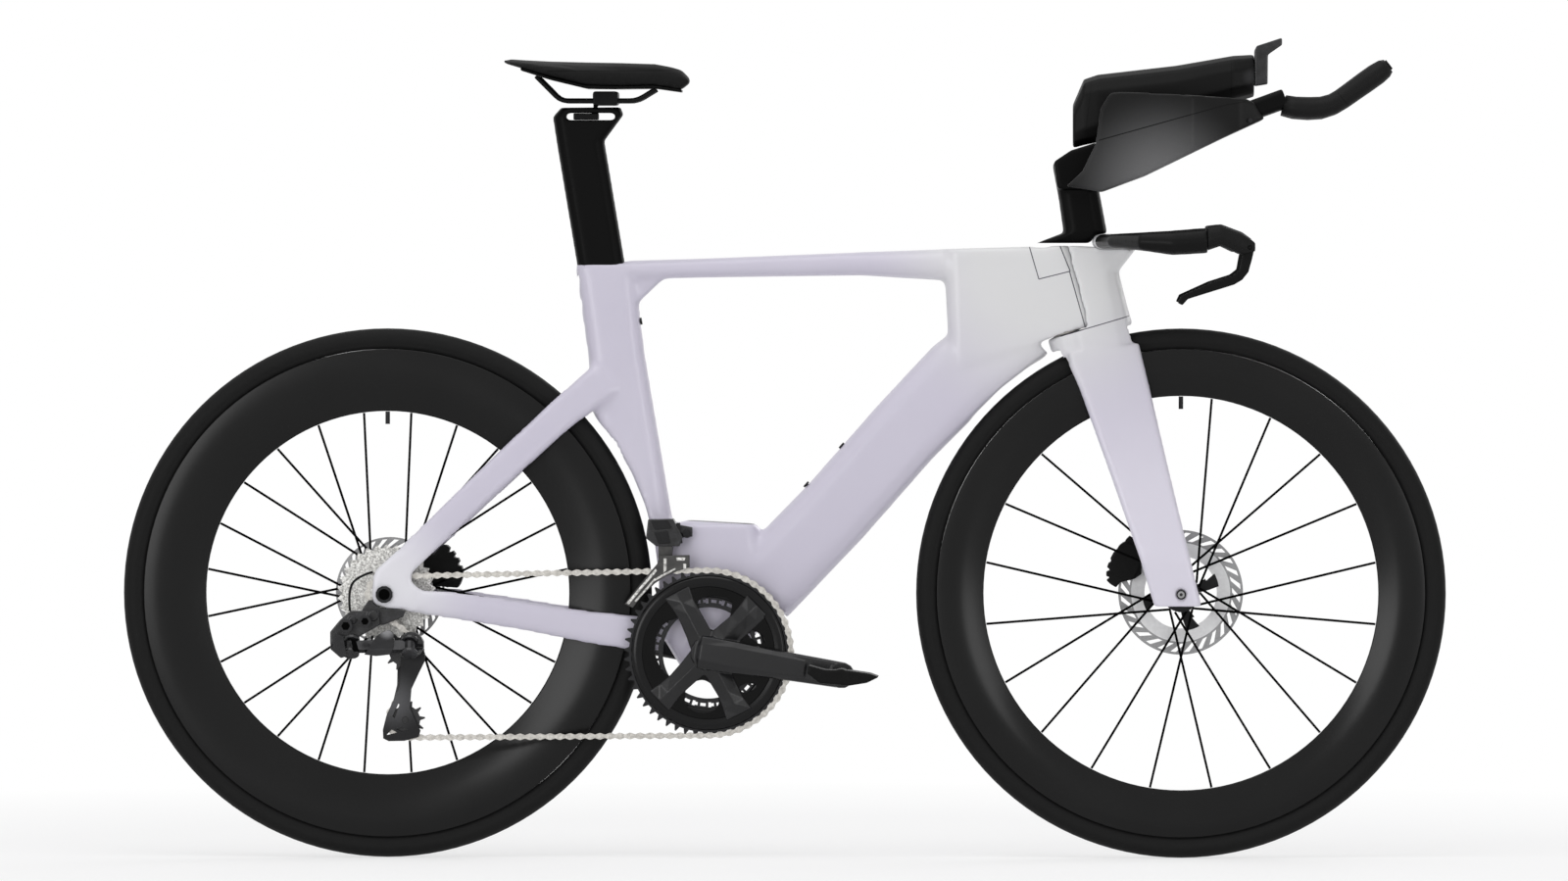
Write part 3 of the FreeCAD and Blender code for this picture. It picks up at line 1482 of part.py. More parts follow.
def arm_bores():
    return [
        flat_cross_bore(spindle_radius + shaft_gap, pedal_box_at, -crank_length, crank_length),
        flat_cross_bore(pedal_axle_radius + shaft_gap, pedal_place(), -crank_length, crank_length),
    ]


def make_crank_arm_right():
    """Drive-side arm with four spider arms in front of the large ring."""
    near = big_ring_line + sprocket_thickness / 2 + seat_gap
    half = spider_width / 2
    tip = half * spider_tip_share
    arms = []
    for angle in spider_angles:
        points = [Vector(0, 0, -half), Vector(spider_radius, 0, -tip), Vector(spider_radius, 0, tip), Vector(0, 0, half)]
        arm = plate([pedal_box_at + point for point in points], -near - spider_thickness, -near)
        arms.append(turned(arm, pedal_box_at, crank_drop_angle - angle))
    return arm_blade().fuse(arms).cut(arm_bores())


def make_crank_arm_left():
    blade = mirrored(arm_blade().cut(arm_bores()))
    return turned(blade, pedal_box_at, 180)


def make_crank_spindle():
    end = arm_root_inner + arm_thickness
    return cross_rod(spindle_radius, pedal_box_at, -end, end)


def make_chainrings(pins):
    """Large and small ring, with the spacer bolts between them on the small one."""
    angle = pin_angle_on(pins, pedal_box_at, pitch_radius(big_ring_teeth))
    large_bore = flat_cross_rod(ring_inner_radius, pedal_box_at, -2 * big_ring_line, 0, hub_sides)
    small_bore = flat_cross_rod(small_ring_inner_radius, pedal_box_at, -2 * big_ring_line, 0, hub_sides)
    large = sprocket(big_ring_teeth, pedal_box_at, -big_ring_line, angle, large_bore)
    small = spare_sprocket(small_ring_teeth, pedal_box_at, -small_ring_line, small_bore)
    near = -big_ring_line + sprocket_thickness / 2 + seat_gap
    bolts = []
    for degrees in spider_angles:
        place = pedal_box_at + Vector(ring_bolt_circle, 0, 0)
        bolt = flat_cross_rod(ring_bolt_radius, place, near, -small_ring_line)
        bolts.append(turned(bolt, pedal_box_at, crank_drop_angle - degrees))
    return [large, small.fuse(bolts)]


def far_pedal_place():
    return pedal_box_at - crank_heading() * crank_length


def pedal_axle(place, side):
    inner = arm_tip_inner + seat_gap
    outer = arm_tip_inner + arm_thickness + pedal_axle_length
    ends = sorted((side * inner, side * outer))
    return cross_rod(pedal_axle_radius, place, *ends)


def make_pedal(place, side):
    """Clipless pedal body with a pointed nose, on its axle."""
    points = [place + Vector(x * pedal_length, 0, z * pedal_height) for x, z in pedal_shares]
    inner = arm_tip_inner + arm_thickness + pedal_gap
    ends = sorted((side * inner, side * (inner + pedal_width)))
    bore_ends = sorted((side * inner, side * (arm_tip_inner + arm_thickness + pedal_axle_length + seat_gap)))
    body = plate(points, *ends).fuse(flat_cross_rod(pedal_barrel_radius, place, *ends))
    return body.cut(flat_cross_bore(pedal_axle_radius + shaft_gap, place, *bore_ends))


def make_fork(base_bar):
    """Fork in one piece: nose before the head tube, crown, two blades and the steerer."""
    nose = tube(nose_shares + (crown_foot_shares,), crown_width, tube_round_share)
    blade = side_tube(blade_shares, blade_thickness, blade_spread, tube_round_share)
    crown = steer_rod(crown_rear_radius, -crown_depth, -nose_clearance)
    solid = nose.fuse(both_sides(blade) + [crown])
    far = wheelbase / 2
    low = -crown_depth * 1.3
    slot_half = tyre_width / 2 + wheel_side_gap
    cuts = [
        steer_rod(head_nose_radius + nose_clearance, -nose_clearance, far),
        steer_block(-far, 0, crown_width, -nose_clearance, far),
        steer_block(-far, -cut_overrun, crown_width, low, far).cut(steer_rod(crown_rear_radius, low, far)),
        flat_cross_bore(tyre_radius + wheel_gap, front_axle_at, -slot_half, slot_half, wheel_sides),
        flat_cross_bore(axle_radius + seat_gap, front_axle_at, -front_hub_width, front_hub_width),
        base_bar,
    ]
    return solid.cut(cuts).fuse(steer_rod(steerer_radius, low / 2, steerer_length)).removeSplitter()


def make_base_bar():
    """Wing-shaped bar that bends forward into two grips."""
    rings = []
    up = Vector(0, 0, 1)
    ahead = Vector(1, 0, 0)
    for rear, front, rise, out, thick_share in bar_wing_shares:
        chord = (front - rear) * cockpit_reach
        middle = cockpit_point((rear + front) / 2, rise, -out * bar_half_span)
        thick = bar_wing_thickness * thick_share
        rings.append(rounded_ring(middle, ahead, up, chord, thick, thick * bar_round_share))
    reach, rise, out = bar_bend_share
    turn = math.radians(bar_bend_turn)
    slanted = Vector(math.cos(turn), math.sin(turn), 0)
    middle = cockpit_point(reach, rise, -out * bar_half_span)
    rings.append(rounded_ring(middle, slanted, up, bar_bend_chord, bar_bend_height, bar_bend_height * bar_round_share))
    for reach, rise, size in bar_grip_shares:
        middle = cockpit_point(reach, rise, -bar_half_span)
        width = bar_grip_width * size
        rings.append(rounded_ring(middle, sideways, up, width, bar_grip_height * size, width * bar_round_share))
    half = loft(rings)
    return half.fuse(mirrored(half)).removeSplitter()


def lever_pin_place():
    return cockpit_point(*lever_pin_share, -bar_half_span)


def make_brake_hood():
    """Drive-side lever housing on the end of the grip, slotted for its lever."""
    rings = []
    for reach, top, bottom, wide in hood_shares:
        upper = cockpit_point(reach, top)
        lower = cockpit_point(reach, bottom)
        rings.append(tube_ring(upper, lower, hood_width * wide, top_round_share, -bar_half_span))
    pin = lever_pin_place()
    half = lever_thickness / 2 + lever_slot_gap
    slot = [cockpit_point(x, z) for x, z in lever_slot_shares]
    cuts = [
        plate(slot, -bar_half_span - half, -bar_half_span + half),
        flat_cross_bore(lever_pin_radius + shaft_gap, pin, -bar_half_span - hood_width, hood_width - bar_half_span),
    ]
    return loft(rings).cut(cuts)


def make_brake_lever():
    """Drive-side lever blade with its pin."""
    half = lever_thickness / 2
    points = [cockpit_point(x, z) for x, z in lever_shares]
    blade = plate(points, -bar_half_span - half, -bar_half_span + half)
    reach = hood_width * lever_pin_reach_share
    pin = cross_rod(lever_pin_radius, lever_pin_place(), -bar_half_span - reach, -bar_half_span + reach)
    return blade.fuse(pin)


def make_riser_post(base_bar):
    """Aero riser on the nose, with a head between the two arm cups."""
    rings = []
    for rear_x, rear_z, front_x, front_z, wide in riser_shares:
        rear = cockpit_point(rear_x, rear_z)
        rings.append(tube_ring(rear, cockpit_point(front_x, front_z), riser_width * wide, bar_round_share))
    head = plate([cockpit_point(x, z) for x, z in riser_head_shares], -riser_head_half, riser_head_half)
    return loft(rings).fuse(head).cut(base_bar).removeSplitter()


def cup_middle():
    return -cup_inner - cup_width / 2


def trough_heading():
    tilt = math.radians(cup_slope)
    return Vector(math.cos(tilt), 0, math.sin(tilt))


def trough_place(reach_share):
    """Place on the axis of the forearm trough, a share of the cockpit reach along it."""
    return cockpit_point(*cup_trough_share, cup_middle()) + trough_heading() * (reach_share * cockpit_reach)


def extension_heading():
    tilt = math.radians(extension_slope)
    return Vector(math.cos(tilt), 0, math.sin(tilt))


def extension_bar(grow):
    """Square tube of an aero extension, from inside the cup's nose."""
    along = extension_heading()
    up = Vector(-along.z, 0, along.x)
    foot = cockpit_point(*extension_foot_share, -extension_line) - along * grow
    side = extension_side + 2 * grow
    ring = rounded_ring(foot, up, sideways, side, side, extension_side / 4)
    return prism(ring, along * (extension_length_share * cockpit_reach + grow))


def make_arm_cup():
    """Drive-side forearm cup: a shell with an open trough and a nose that holds the extension."""
    body = plate([cockpit_point(x, z) for x, z in cup_shares], -cup_inner - cup_width, -cup_inner)
    plan = []
    for reach, inner_share, outer_share in cup_plan_shares:
        plan.append((reach, -cup_inner - inner_share * cup_width, -cup_inner - outer_share * cup_width))
    low = cockpit_point(0, -1)
    ring = [Vector(low.x + reach * cockpit_reach, inner, low.z) for reach, inner, outer in plan]
    ring = ring + [Vector(low.x + reach * cockpit_reach, outer, low.z) for reach, inner, outer in reversed(plan)]
    column = prism(ring, Vector(0, 0, 3 * cockpit_rise))
    along = trough_heading()
    up = Vector(-along.z, 0, along.x)
    start = trough_place(trough_rear_share)
    length = (trough_front_share - trough_rear_share) * cockpit_reach
    trough = Part.makeCylinder(forearm_radius, length, start, along)
    roof = [start - sideways * forearm_radius, start + sideways * forearm_radius,
            start + sideways * forearm_radius + up * cockpit_rise, start - sideways * forearm_radius + up * cockpit_rise]
    opening = prism(roof, along * length)
    return body.common(column).cut([trough, opening, extension_bar(seat_gap)])


def make_arm_pad():
    """Drive-side foam pad lining the trough, thinner towards its ends."""
    along = trough_heading()
    up = Vector(-along.z, 0, along.x)
    outer = forearm_radius - running_gap
    rings = []
    for reach, thick_share, degrees in zip(pad_reach_shares, pad_thickness_shares, pad_angles):
        centre = trough_place(reach)
        inner = outer - pad_thickness * thick_share
        ring = []
        for radius, sense in ((outer, 1), (inner, -1)):
            for number in range(pad_steps + 1):
                turn = sense * math.radians(degrees) * (2 * number / pad_steps - 1)
                ring.append(centre - up * (radius * math.cos(turn)) + sideways * (radius * math.sin(turn)))
        rings.append(ring)
    return loft(rings)


def make_hydration_bottle():
    rings = []
    for reach, low, high, wide in bottle_shares:
        top = cockpit_point(reach, high)
        rings.append(tube_ring(top, cockpit_point(reach, low), bottle_width * wide, top_round_share))
    return loft(rings)


def make_computer_mount():
    return plate([cockpit_point(x, z) for x, z in mount_shares], -mount_width / 2, mount_width / 2)


def grip_ring(centre, degrees, radius):
    """Ten-sided outline of a grip, square to its heading."""
    tilt = math.radians(degrees)
    up = Vector(-math.sin(tilt), 0, math.cos(tilt))
    ring = []
    for number in range(grip_sides):
        angle = (number + 0.5) * 2 * math.pi / grip_sides
        ring.append(centre + up * (radius * math.cos(angle)) + sideways * (radius * math.sin(angle)))
    return ring


def grip_tip():
    reach, rise, degrees, size = grip_shares[-1]
    tilt = math.radians(degrees)
    return cockpit_point(reach, rise, -extension_line), Vector(math.cos(tilt), 0, math.sin(tilt))


def make_extension_grip():
    """Drive-side grip bent up from the end of its extension, bored for the shift button."""
    along = extension_heading()
    foot = cockpit_point(*extension_foot_share, -extension_line)
    start = foot + along * (extension_length_share * cockpit_reach + seat_gap)
    rings = [grip_ring(start, extension_slope, grip_radius * grip_start_share)]
    for reach, rise, degrees, size in grip_shares:
        rings.append(grip_ring(cockpit_point(reach, rise, -extension_line), degrees, grip_radius * size))
    tip, heading = grip_tip()
    depth = button_length + button_travel
    bore = flat_bore(button_radius + seat_gap, tip - heading * depth, heading * depth)
    return loft(rings).cut(bore)


def make_shift_button():
    tip, heading = grip_tip()
    foot = tip - heading * (button_length - button_rise)
    return Part.makeCylinder(button_radius, button_length, foot, heading)


cage_turn = settle_cage()
chain_pins, chain_slack = chain_walk(cage_turn, chain_links())
guide_place, tension_place = cage_places(cage_turn)


def build():
    """Every piece of the bike under its own name."""
    frame = make_frame()
    base_bar = make_base_bar()
    fork = make_fork(base_bar)
    shell = make_saddle_shell()
    mech = make_derailleur_body()
    return {
        "frame": frame,
        "steerer_cover": make_steerer_cover(),
        "storage_lid": make_storage_lid(),
        "frame_bolts": make_frame_bolts(),
        "bottom_bracket": make_bottom_bracket(),
        "headset_bearings": make_headset_bearings(),
        "rear_axle": make_axle(rear_axle_at, rear_axle_half(), axle_head_radius),
        "rear_caliper": make_caliper(rear_axle_at, rear_caliper_shares, rear_rotor_radius, rear_rotor_place,
                                     rear_caliper_tilt, frame),
        "front_derailleur": make_front_derailleur(frame),
        "front_derailleur_cage": make_front_derailleur_cage(),
        "derailleur_hanger": make_derailleur_hanger(frame),
        "derailleur_body": mech,
        "derailleur_wire": make_derailleur_wire(frame, mech),
        "derailleur_link": make_derailleur_link(),
        "derailleur_knuckle": make_derailleur_knuckle(),
        "derailleur_cage": make_derailleur_cage(cage_turn),
        "guide_pulley": make_pulley(guide_place, chain_pins),
        "tension_pulley": make_pulley(tension_place, chain_pins),
        "chain": make_chain(chain_pins),
        "cassette": make_cassette(chain_pins),
        "seat_post": make_seat_post(),
        "saddle_clamp": make_saddle_clamp(),
        "saddle_rails": make_saddle_rails(shell),
        "saddle_shell": shell,
        "saddle_pad": make_saddle_pad(),
        "rear_tyre": make_tyre(rear_axle_at),
        "rear_rim": make_rim(rear_axle_at, rear_rim_inner_radius),
        "rear_spokes": make_spokes(rear_axle_at, rear_rim_inner_radius, rear_spoke_count, rear_spoke_turns,
                                   rear_flange_right, rear_flange_left),
        "rear_hub": make_hub(rear_axle_at, rear_hub_width, rear_flange_right, rear_flange_left, rear_rotor_place),
        "rear_rotor": make_rotor(rear_axle_at, rear_rotor_radius, rear_rotor_place),
        "rear_valve": make_valve(rear_axle_at, rear_rim_inner_radius),
        "front_tyre": make_tyre(front_axle_at),
        "front_rim": make_rim(front_axle_at, front_rim_inner_radius),
        "front_spokes": make_spokes(front_axle_at, front_rim_inner_radius, front_spoke_count, front_spoke_turns,
                                    front_flange_right, front_flange_left),
        "front_hub": make_hub(front_axle_at, front_hub_width, front_flange_right, front_flange_left, front_rotor_place),
        "front_rotor": make_rotor(front_axle_at, front_rotor_radius, front_rotor_place),
        "front_valve": make_valve(front_axle_at, front_rim_inner_radius),
        "front_axle": make_axle(front_axle_at, blade_spread + blade_thickness / 2 - seat_gap, axle_radius),
        "front_caliper": make_caliper(front_axle_at, front_caliper_shares, front_rotor_radius, front_rotor_place,
                                      front_caliper_tilt, fork),
        "crank_spindle": make_crank_spindle(),
        "crank_arm_right": make_crank_arm_right(),
        "crank_arm_left": make_crank_arm_left(),
        "chainrings": make_chainrings(chain_pins),
        "pedal_axles": [pedal_axle(pedal_place(), -1), pedal_axle(far_pedal_place(), 1)],
        "pedal_right": make_pedal(pedal_place(), -1),
        "pedal_left": make_pedal(far_pedal_place(), 1),
        "fork": fork,
        "base_bar": base_bar,
        "brake_hoods": both_sides(make_brake_hood()),
        "brake_lever_right": make_brake_lever(),
        "brake_lever_left": mirrored(make_brake_lever()),
        "riser_post": make_riser_post(base_bar),
        "arm_cups": both_sides(make_arm_cup()),
        "arm_pads": both_sides(make_arm_pad()),
        "extensions": both_sides(extension_bar(0)),
        "extension_grips": both_sides(make_extension_grip()),
        "shift_button_right": make_shift_button(),
        "shift_button_left": mirrored(make_shift_button()),
        "hydration_bottle": make_hydration_bottle(),
        "computer_mount": make_computer_mount(),
    }


if __name__ == "__main__":
    os.makedirs("parts", exist_ok=True)
    for node, shape in build().items():
        solids = shape if isinstance(shape, list) else shape.Solids
        Part.makeCompound(solids).exportStep("parts/" + node + ".step")
    print("chain links", chain_links(), "cage turn", round(math.degrees(cage_turn), 2))
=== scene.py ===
import json
import math
import bmesh
import bpy
from mathutils import Matrix, Vector

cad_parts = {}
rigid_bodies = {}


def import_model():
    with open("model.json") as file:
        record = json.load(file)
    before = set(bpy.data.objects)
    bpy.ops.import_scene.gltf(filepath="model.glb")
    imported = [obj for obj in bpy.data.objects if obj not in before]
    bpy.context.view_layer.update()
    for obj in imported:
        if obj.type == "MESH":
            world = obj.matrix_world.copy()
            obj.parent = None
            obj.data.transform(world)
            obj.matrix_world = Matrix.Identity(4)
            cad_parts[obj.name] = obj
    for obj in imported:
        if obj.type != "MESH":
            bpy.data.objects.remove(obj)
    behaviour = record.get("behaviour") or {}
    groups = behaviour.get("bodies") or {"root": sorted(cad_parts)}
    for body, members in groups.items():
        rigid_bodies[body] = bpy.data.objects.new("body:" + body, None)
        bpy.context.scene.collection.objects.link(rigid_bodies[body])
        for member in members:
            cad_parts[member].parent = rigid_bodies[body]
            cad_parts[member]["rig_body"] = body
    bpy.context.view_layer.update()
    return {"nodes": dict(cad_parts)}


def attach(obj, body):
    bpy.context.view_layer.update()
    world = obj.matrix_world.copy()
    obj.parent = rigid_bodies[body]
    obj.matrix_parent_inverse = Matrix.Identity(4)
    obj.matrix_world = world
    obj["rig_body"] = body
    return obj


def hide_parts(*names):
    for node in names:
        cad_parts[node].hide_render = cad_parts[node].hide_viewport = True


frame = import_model()

# The photographer's view.
# A long lens sixteen metres off the drive side, a little ahead of the bike and below the top of the bars.
camera_place = Vector((0.40, -16.0, 0.80))
aim = Vector((0.0, 0.0, 0.532))
seen_width = 2.0


def placed(name, data):
    """A new object that shows these data."""
    thing = bpy.data.objects.new(name, data)
    bpy.context.collection.objects.link(thing)
    return thing


camera_data = bpy.data.cameras.new("side_camera")
side_camera = placed("side_camera", camera_data)
side_camera.location = camera_place
side_camera.rotation_euler = (aim - camera_place).to_track_quat("-Z", "Y").to_euler()
camera_data.lens = camera_data.sensor_width * (aim - camera_place).length / seen_width
bpy.context.scene.camera = side_camera
bpy.context.scene.view_settings.view_transform = "Standard"

# The studio.
# A white sweep of paper lies under the bike, lit by one soft lamp overhead, one at each side, one behind and
# a pale sky. The camera, mirroring surfaces and clear matter see plain white.
floor_half = 6.0
floor_cells = 8
paper_tone = (0.93, 0.93, 0.94, 1)
paper_roughness = 0.8
fade_start = 1.1
fade_end = 2.2
white_by_bike = 0.6
sky_low, sky_high = -0.15, 0.85
sky_dim, sky_bright = 0.10, 0.72
bike_middle = (0.0, 0.0, 0.5)
fork_side = (0.3, 0.0, 0.5)
# Each lamp has a place, an aim, a width in metres and a power in watts.
lamps = [
    ("overhead_lamp", (-0.4, -1.4, 3.6), bike_middle, 2.6, 38.0),
    ("left_lamp", (-2.7, -5.8, 0.9), bike_middle, 2.2, 62.0),
    ("right_lamp", (2.7, -4.6, 0.8), fork_side, 1.4, 22.0),
    ("back_lamp", (2.4, 3.6, 2.4), bike_middle, 2.4, 34.0),
]


def as_mesh(name, shape):
    """A new mesh of a built shape, which is then let go."""
    mesh = bpy.data.meshes.new(name)
    shape.to_mesh(mesh)
    shape.free()
    return mesh


def maths(tree, operation, *values, kind="ShaderNodeMath", outlet="Value"):
    """A sum inside a material, worked out from numbers, places and other nodes' outlets."""
    node = tree.nodes.new(kind)
    node.operation = operation
    for socket, value in zip(node.inputs, values):
        if isinstance(value, (float, tuple)):
            socket.default_value = value
        else:
            tree.links.new(value, socket)
    return node.outputs[outlet]


def place_maths(tree, operation, *values, outlet="Value"):
    """A sum of places inside a material."""
    return maths(tree, operation, *values, kind="ShaderNodeVectorMath", outlet=outlet)


def mapped(tree, value, low, high, start, end, curve="LINEAR"):
    """A value inside a material, carried over from one range to another."""
    node = tree.nodes.new("ShaderNodeMapRange")
    node.interpolation_type = curve
    for name, number in (("From Min", low), ("From Max", high), ("To Min", start), ("To Max", end)):
        node.inputs[name].default_value = number
    tree.links.new(value, node.inputs["Value"])
    return node.outputs["Result"]


def seen_or_mirrored(tree):
    """One where the ray comes from the camera, a mirroring surface or clear matter."""
    rays = tree.nodes.new("ShaderNodeLightPath")
    answer = rays.outputs["Is Camera Ray"]
    for kind in ("Is Glossy Ray", "Is Transmission Ray"):
        answer = maths(tree, "MAXIMUM", answer, rays.outputs[kind])
    return answer


floor_shape = bmesh.new()
bmesh.ops.create_grid(floor_shape, x_segments=floor_cells, y_segments=floor_cells, size=floor_half)
studio_floor = placed("studio_floor", as_mesh("studio_floor", floor_shape))
paper = bpy.data.materials.new("white_paper")
paper.use_nodes = True
tree = paper.node_tree
coords = tree.nodes.new("ShaderNodeTexCoord")
distance = place_maths(tree, "LENGTH", coords.outputs["Object"])
fade = mapped(tree, distance, fade_start, fade_end, white_by_bike, 1.0)
share = maths(tree, "MULTIPLY", seen_or_mirrored(tree), fade)
white_light = tree.nodes.new("ShaderNodeEmission")
blend_shader = tree.nodes.new("ShaderNodeMixShader")
matt = tree.nodes["Principled BSDF"]
matt.inputs["Base Color"].default_value = paper_tone
matt.inputs["Roughness"].default_value = paper_roughness
tree.links.new(share, blend_shader.inputs[0])
tree.links.new(matt.outputs[0], blend_shader.inputs[1])
tree.links.new(white_light.outputs[0], blend_shader.inputs[2])
tree.links.new(blend_shader.outputs[0], tree.nodes["Material Output"].inputs["Surface"])
studio_floor.data.materials.append(paper)
for lamp_name, place, target, size, power in lamps:
    lamp_data = bpy.data.lights.new(lamp_name, "AREA")
    lamp_data.size = size
    lamp_data.energy = power
    lamp = placed(lamp_name, lamp_data)
    lamp.location = place
    lamp.rotation_euler = (Vector(target) - Vector(place)).to_track_quat("-Z", "Y").to_euler()
studio = bpy.data.worlds.new("studio")
studio.use_nodes = True
bpy.context.scene.world = studio
tree = studio.node_tree
sky_way = tree.nodes.new("ShaderNodeTexCoord")
sky_parts = tree.nodes.new("ShaderNodeSeparateXYZ")
tree.links.new(sky_way.outputs["Generated"], sky_parts.inputs["Vector"])
sky_rise = mapped(tree, sky_parts.outputs["Z"], sky_low, sky_high, sky_dim, sky_bright)
brightness = tree.nodes.new("ShaderNodeMix")
brightness.inputs["B"].default_value = 1.0
tree.links.new(sky_rise, brightness.inputs["A"])
tree.links.new(seen_or_mirrored(tree), brightness.inputs["Factor"])
background = tree.nodes["Background"]
tree.links.new(brightness.outputs["Result"], background.inputs["Strength"])
background.inputs["Color"].default_value = (1, 1, 1, 1)

# Frame.
# One moulded fibre shell under pale lilac paint, with the storage lid over the bottom bracket and the
# cover panel on the head let in flush; only their joint lines show.
weld_distance = 1e-5
smoothing = 0.5
seam_width = 0.0013
cloud_detail = 4.0
gloss_wander = 0.15
coat_roughness = 0.12
relief_strength = 0.35


def tone(red, green, blue):
    """A colour as measured on a screen, turned to light."""
    return tuple((part / 255.0) ** 2.2 for part in (red, green, blue)) + (1.0,)


def grey(level):
    """A plain grey, as measured on a screen."""
    return tone(level, level, level)


def worked_out(piece):
    """A mesh of what a piece's modifiers make of it; they are then taken off."""
    bpy.context.view_layer.update()
    mesh = bpy.data.meshes.new_from_object(piece.evaluated_get(bpy.context.evaluated_depsgraph_get()))
    piece.modifiers.clear()
    return mesh


def smooth_skin(name, node_names, grain, passes, inset=0.0, added=None):
    """One smooth skin over the facets of these solids and of any added forms, drawn in by the inset."""
    rough = bmesh.new()
    for node_name in node_names:
        rough.from_mesh(frame["nodes"][node_name].data)
    if added:
        added_mesh = as_mesh(name + "_added", added)
        rough.from_mesh(added_mesh)
        bpy.data.meshes.remove(added_mesh)
    bmesh.ops.remove_doubles(rough, verts=rough.verts, dist=weld_distance)
    piece = placed(name, as_mesh(name, rough))
    skin = piece.modifiers.new("skin", "REMESH")
    skin.mode = "VOXEL"
    skin.voxel_size = grain
    skinned = worked_out(piece)
    shape = bmesh.new()
    shape.from_mesh(skinned)
    for turn in range(passes):
        bmesh.ops.smooth_vert(shape, verts=shape.verts, factor=smoothing,
                              use_axis_x=True, use_axis_y=True, use_axis_z=True)
    shape.normal_update()
    for vertex in shape.verts:
        vertex.co -= vertex.normal * inset
    for face in shape.faces:
        face.smooth = True
    shape.to_mesh(piece.data)
    shape.free()
    piece.data.materials.clear()
    bpy.data.meshes.remove(skinned)
    return piece


def moulding(name, node_names, material, grain, passes, added=None):
    """A moulded piece in one smooth skin, which stands for its solids."""
    piece = smooth_skin(name, node_names, grain, passes, added=added)
    piece.data.materials.append(material)
    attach(piece, frame["nodes"][node_names[0]]["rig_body"])
    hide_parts(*node_names)


def finish(name, dark, light, patch, roughness, bump=0.0, metal=0.0, coat=0.0, shine=0.5, contrast=1.0):
    """A surface whose colour and gloss wander a little over patches of one size."""
    material = bpy.data.materials.new(name)
    material.use_nodes = True
    tree = material.node_tree
    surface = tree.nodes["Principled BSDF"]
    coords = tree.nodes.new("ShaderNodeTexCoord")
    cloud = tree.nodes.new("ShaderNodeTexNoise")
    cloud.inputs["Scale"].default_value = 1.0 / patch
    cloud.inputs["Detail"].default_value = cloud_detail
    tree.links.new(coords.outputs["Object"], cloud.inputs["Vector"])
    colour = tree.nodes.new("ShaderNodeMix")
    colour.data_type = "RGBA"
    colour.inputs["A"].default_value = dark
    colour.inputs["B"].default_value = light
    wander = mapped(tree, cloud.outputs["Fac"], 0.5 - 0.5 / contrast, 0.5 + 0.5 / contrast, 0.0, 1.0)
    tree.links.new(wander, colour.inputs["Factor"])
    tree.links.new(colour.outputs["Result"], surface.inputs["Base Color"])
    gloss = mapped(tree, cloud.outputs["Fac"], 0.0, 1.0,
                   roughness * (1.0 - gloss_wander), roughness * (1.0 + gloss_wander))
    tree.links.new(gloss, surface.inputs["Roughness"])
    surface.inputs["Metallic"].default_value = metal
    surface.inputs["Specular IOR Level"].default_value = shine
    surface.inputs["Coat Weight"].default_value = coat
    surface.inputs["Coat Roughness"].default_value = coat_roughness
    if bump:
        relief = tree.nodes.new("ShaderNodeBump")
        relief.inputs["Strength"].default_value = relief_strength
        relief.inputs["Distance"].default_value = bump
        tree.links.new(cloud.outputs["Fac"], relief.inputs["Height"])
        tree.links.new(relief.outputs["Normal"], surface.inputs["Normal"])
    return material


def tinted(material, share, colour):
    """Turns a finish towards another colour by a share from nought to one."""
    tree = material.node_tree
    base = tree.nodes["Principled BSDF"].inputs["Base Color"]
    tint = tree.nodes.new("ShaderNodeMix")
    tint.data_type = "RGBA"
    tint.inputs["B"].default_value = colour
    tree.links.new(base.links[0].from_socket, tint.inputs["A"])
    tree.links.new(share, tint.inputs["Factor"])
    tree.links.new(tint.outputs["Result"], base)


def paler_near(material, place, near, far, colour):
    """Lets a finish pale towards one place on the bike, in a soft round patch; most uses paint light there.
    """
    tree = material.node_tree
    away = place_maths(tree, "DISTANCE", tree.nodes["Texture Coordinate"].outputs["Object"], place)
    tinted(material, mapped(tree, away, near, far, 1.0, 0.0, "SMOOTHSTEP"), colour)


def joint_lines(material, lines, width, line_colour):
    """Thin dark joint lines drawn straight across a piece, each from one side place to another."""
    tree = material.node_tree
    total = None
    for start_x, start_z, end_x, end_z in lines:
        half_length = math.hypot(end_x - start_x, end_z - start_z) / 2
        turned = tree.nodes.new("ShaderNodeMapping")
        turned.vector_type = "TEXTURE"
        turned.inputs["Location"].default_value = (start_x, 0, start_z)
        turned.inputs["Rotation"].default_value = (0, -math.atan2(end_z - start_z, end_x - start_x), 0)
        tree.links.new(tree.nodes["Texture Coordinate"].outputs["Object"], turned.inputs["Vector"])
        parts = tree.nodes.new("ShaderNodeSeparateXYZ")
        tree.links.new(turned.outputs["Vector"], parts.inputs["Vector"])
        near = maths(tree, "COMPARE", parts.outputs["Z"], 0.0, width / 2)
        along = maths(tree, "COMPARE", parts.outputs["X"], half_length, half_length)
        drawn = maths(tree, "MULTIPLY", near, along)
        total = drawn if total is None else maths(tree, "MAXIMUM", total, drawn)
    tinted(material, total, line_colour)


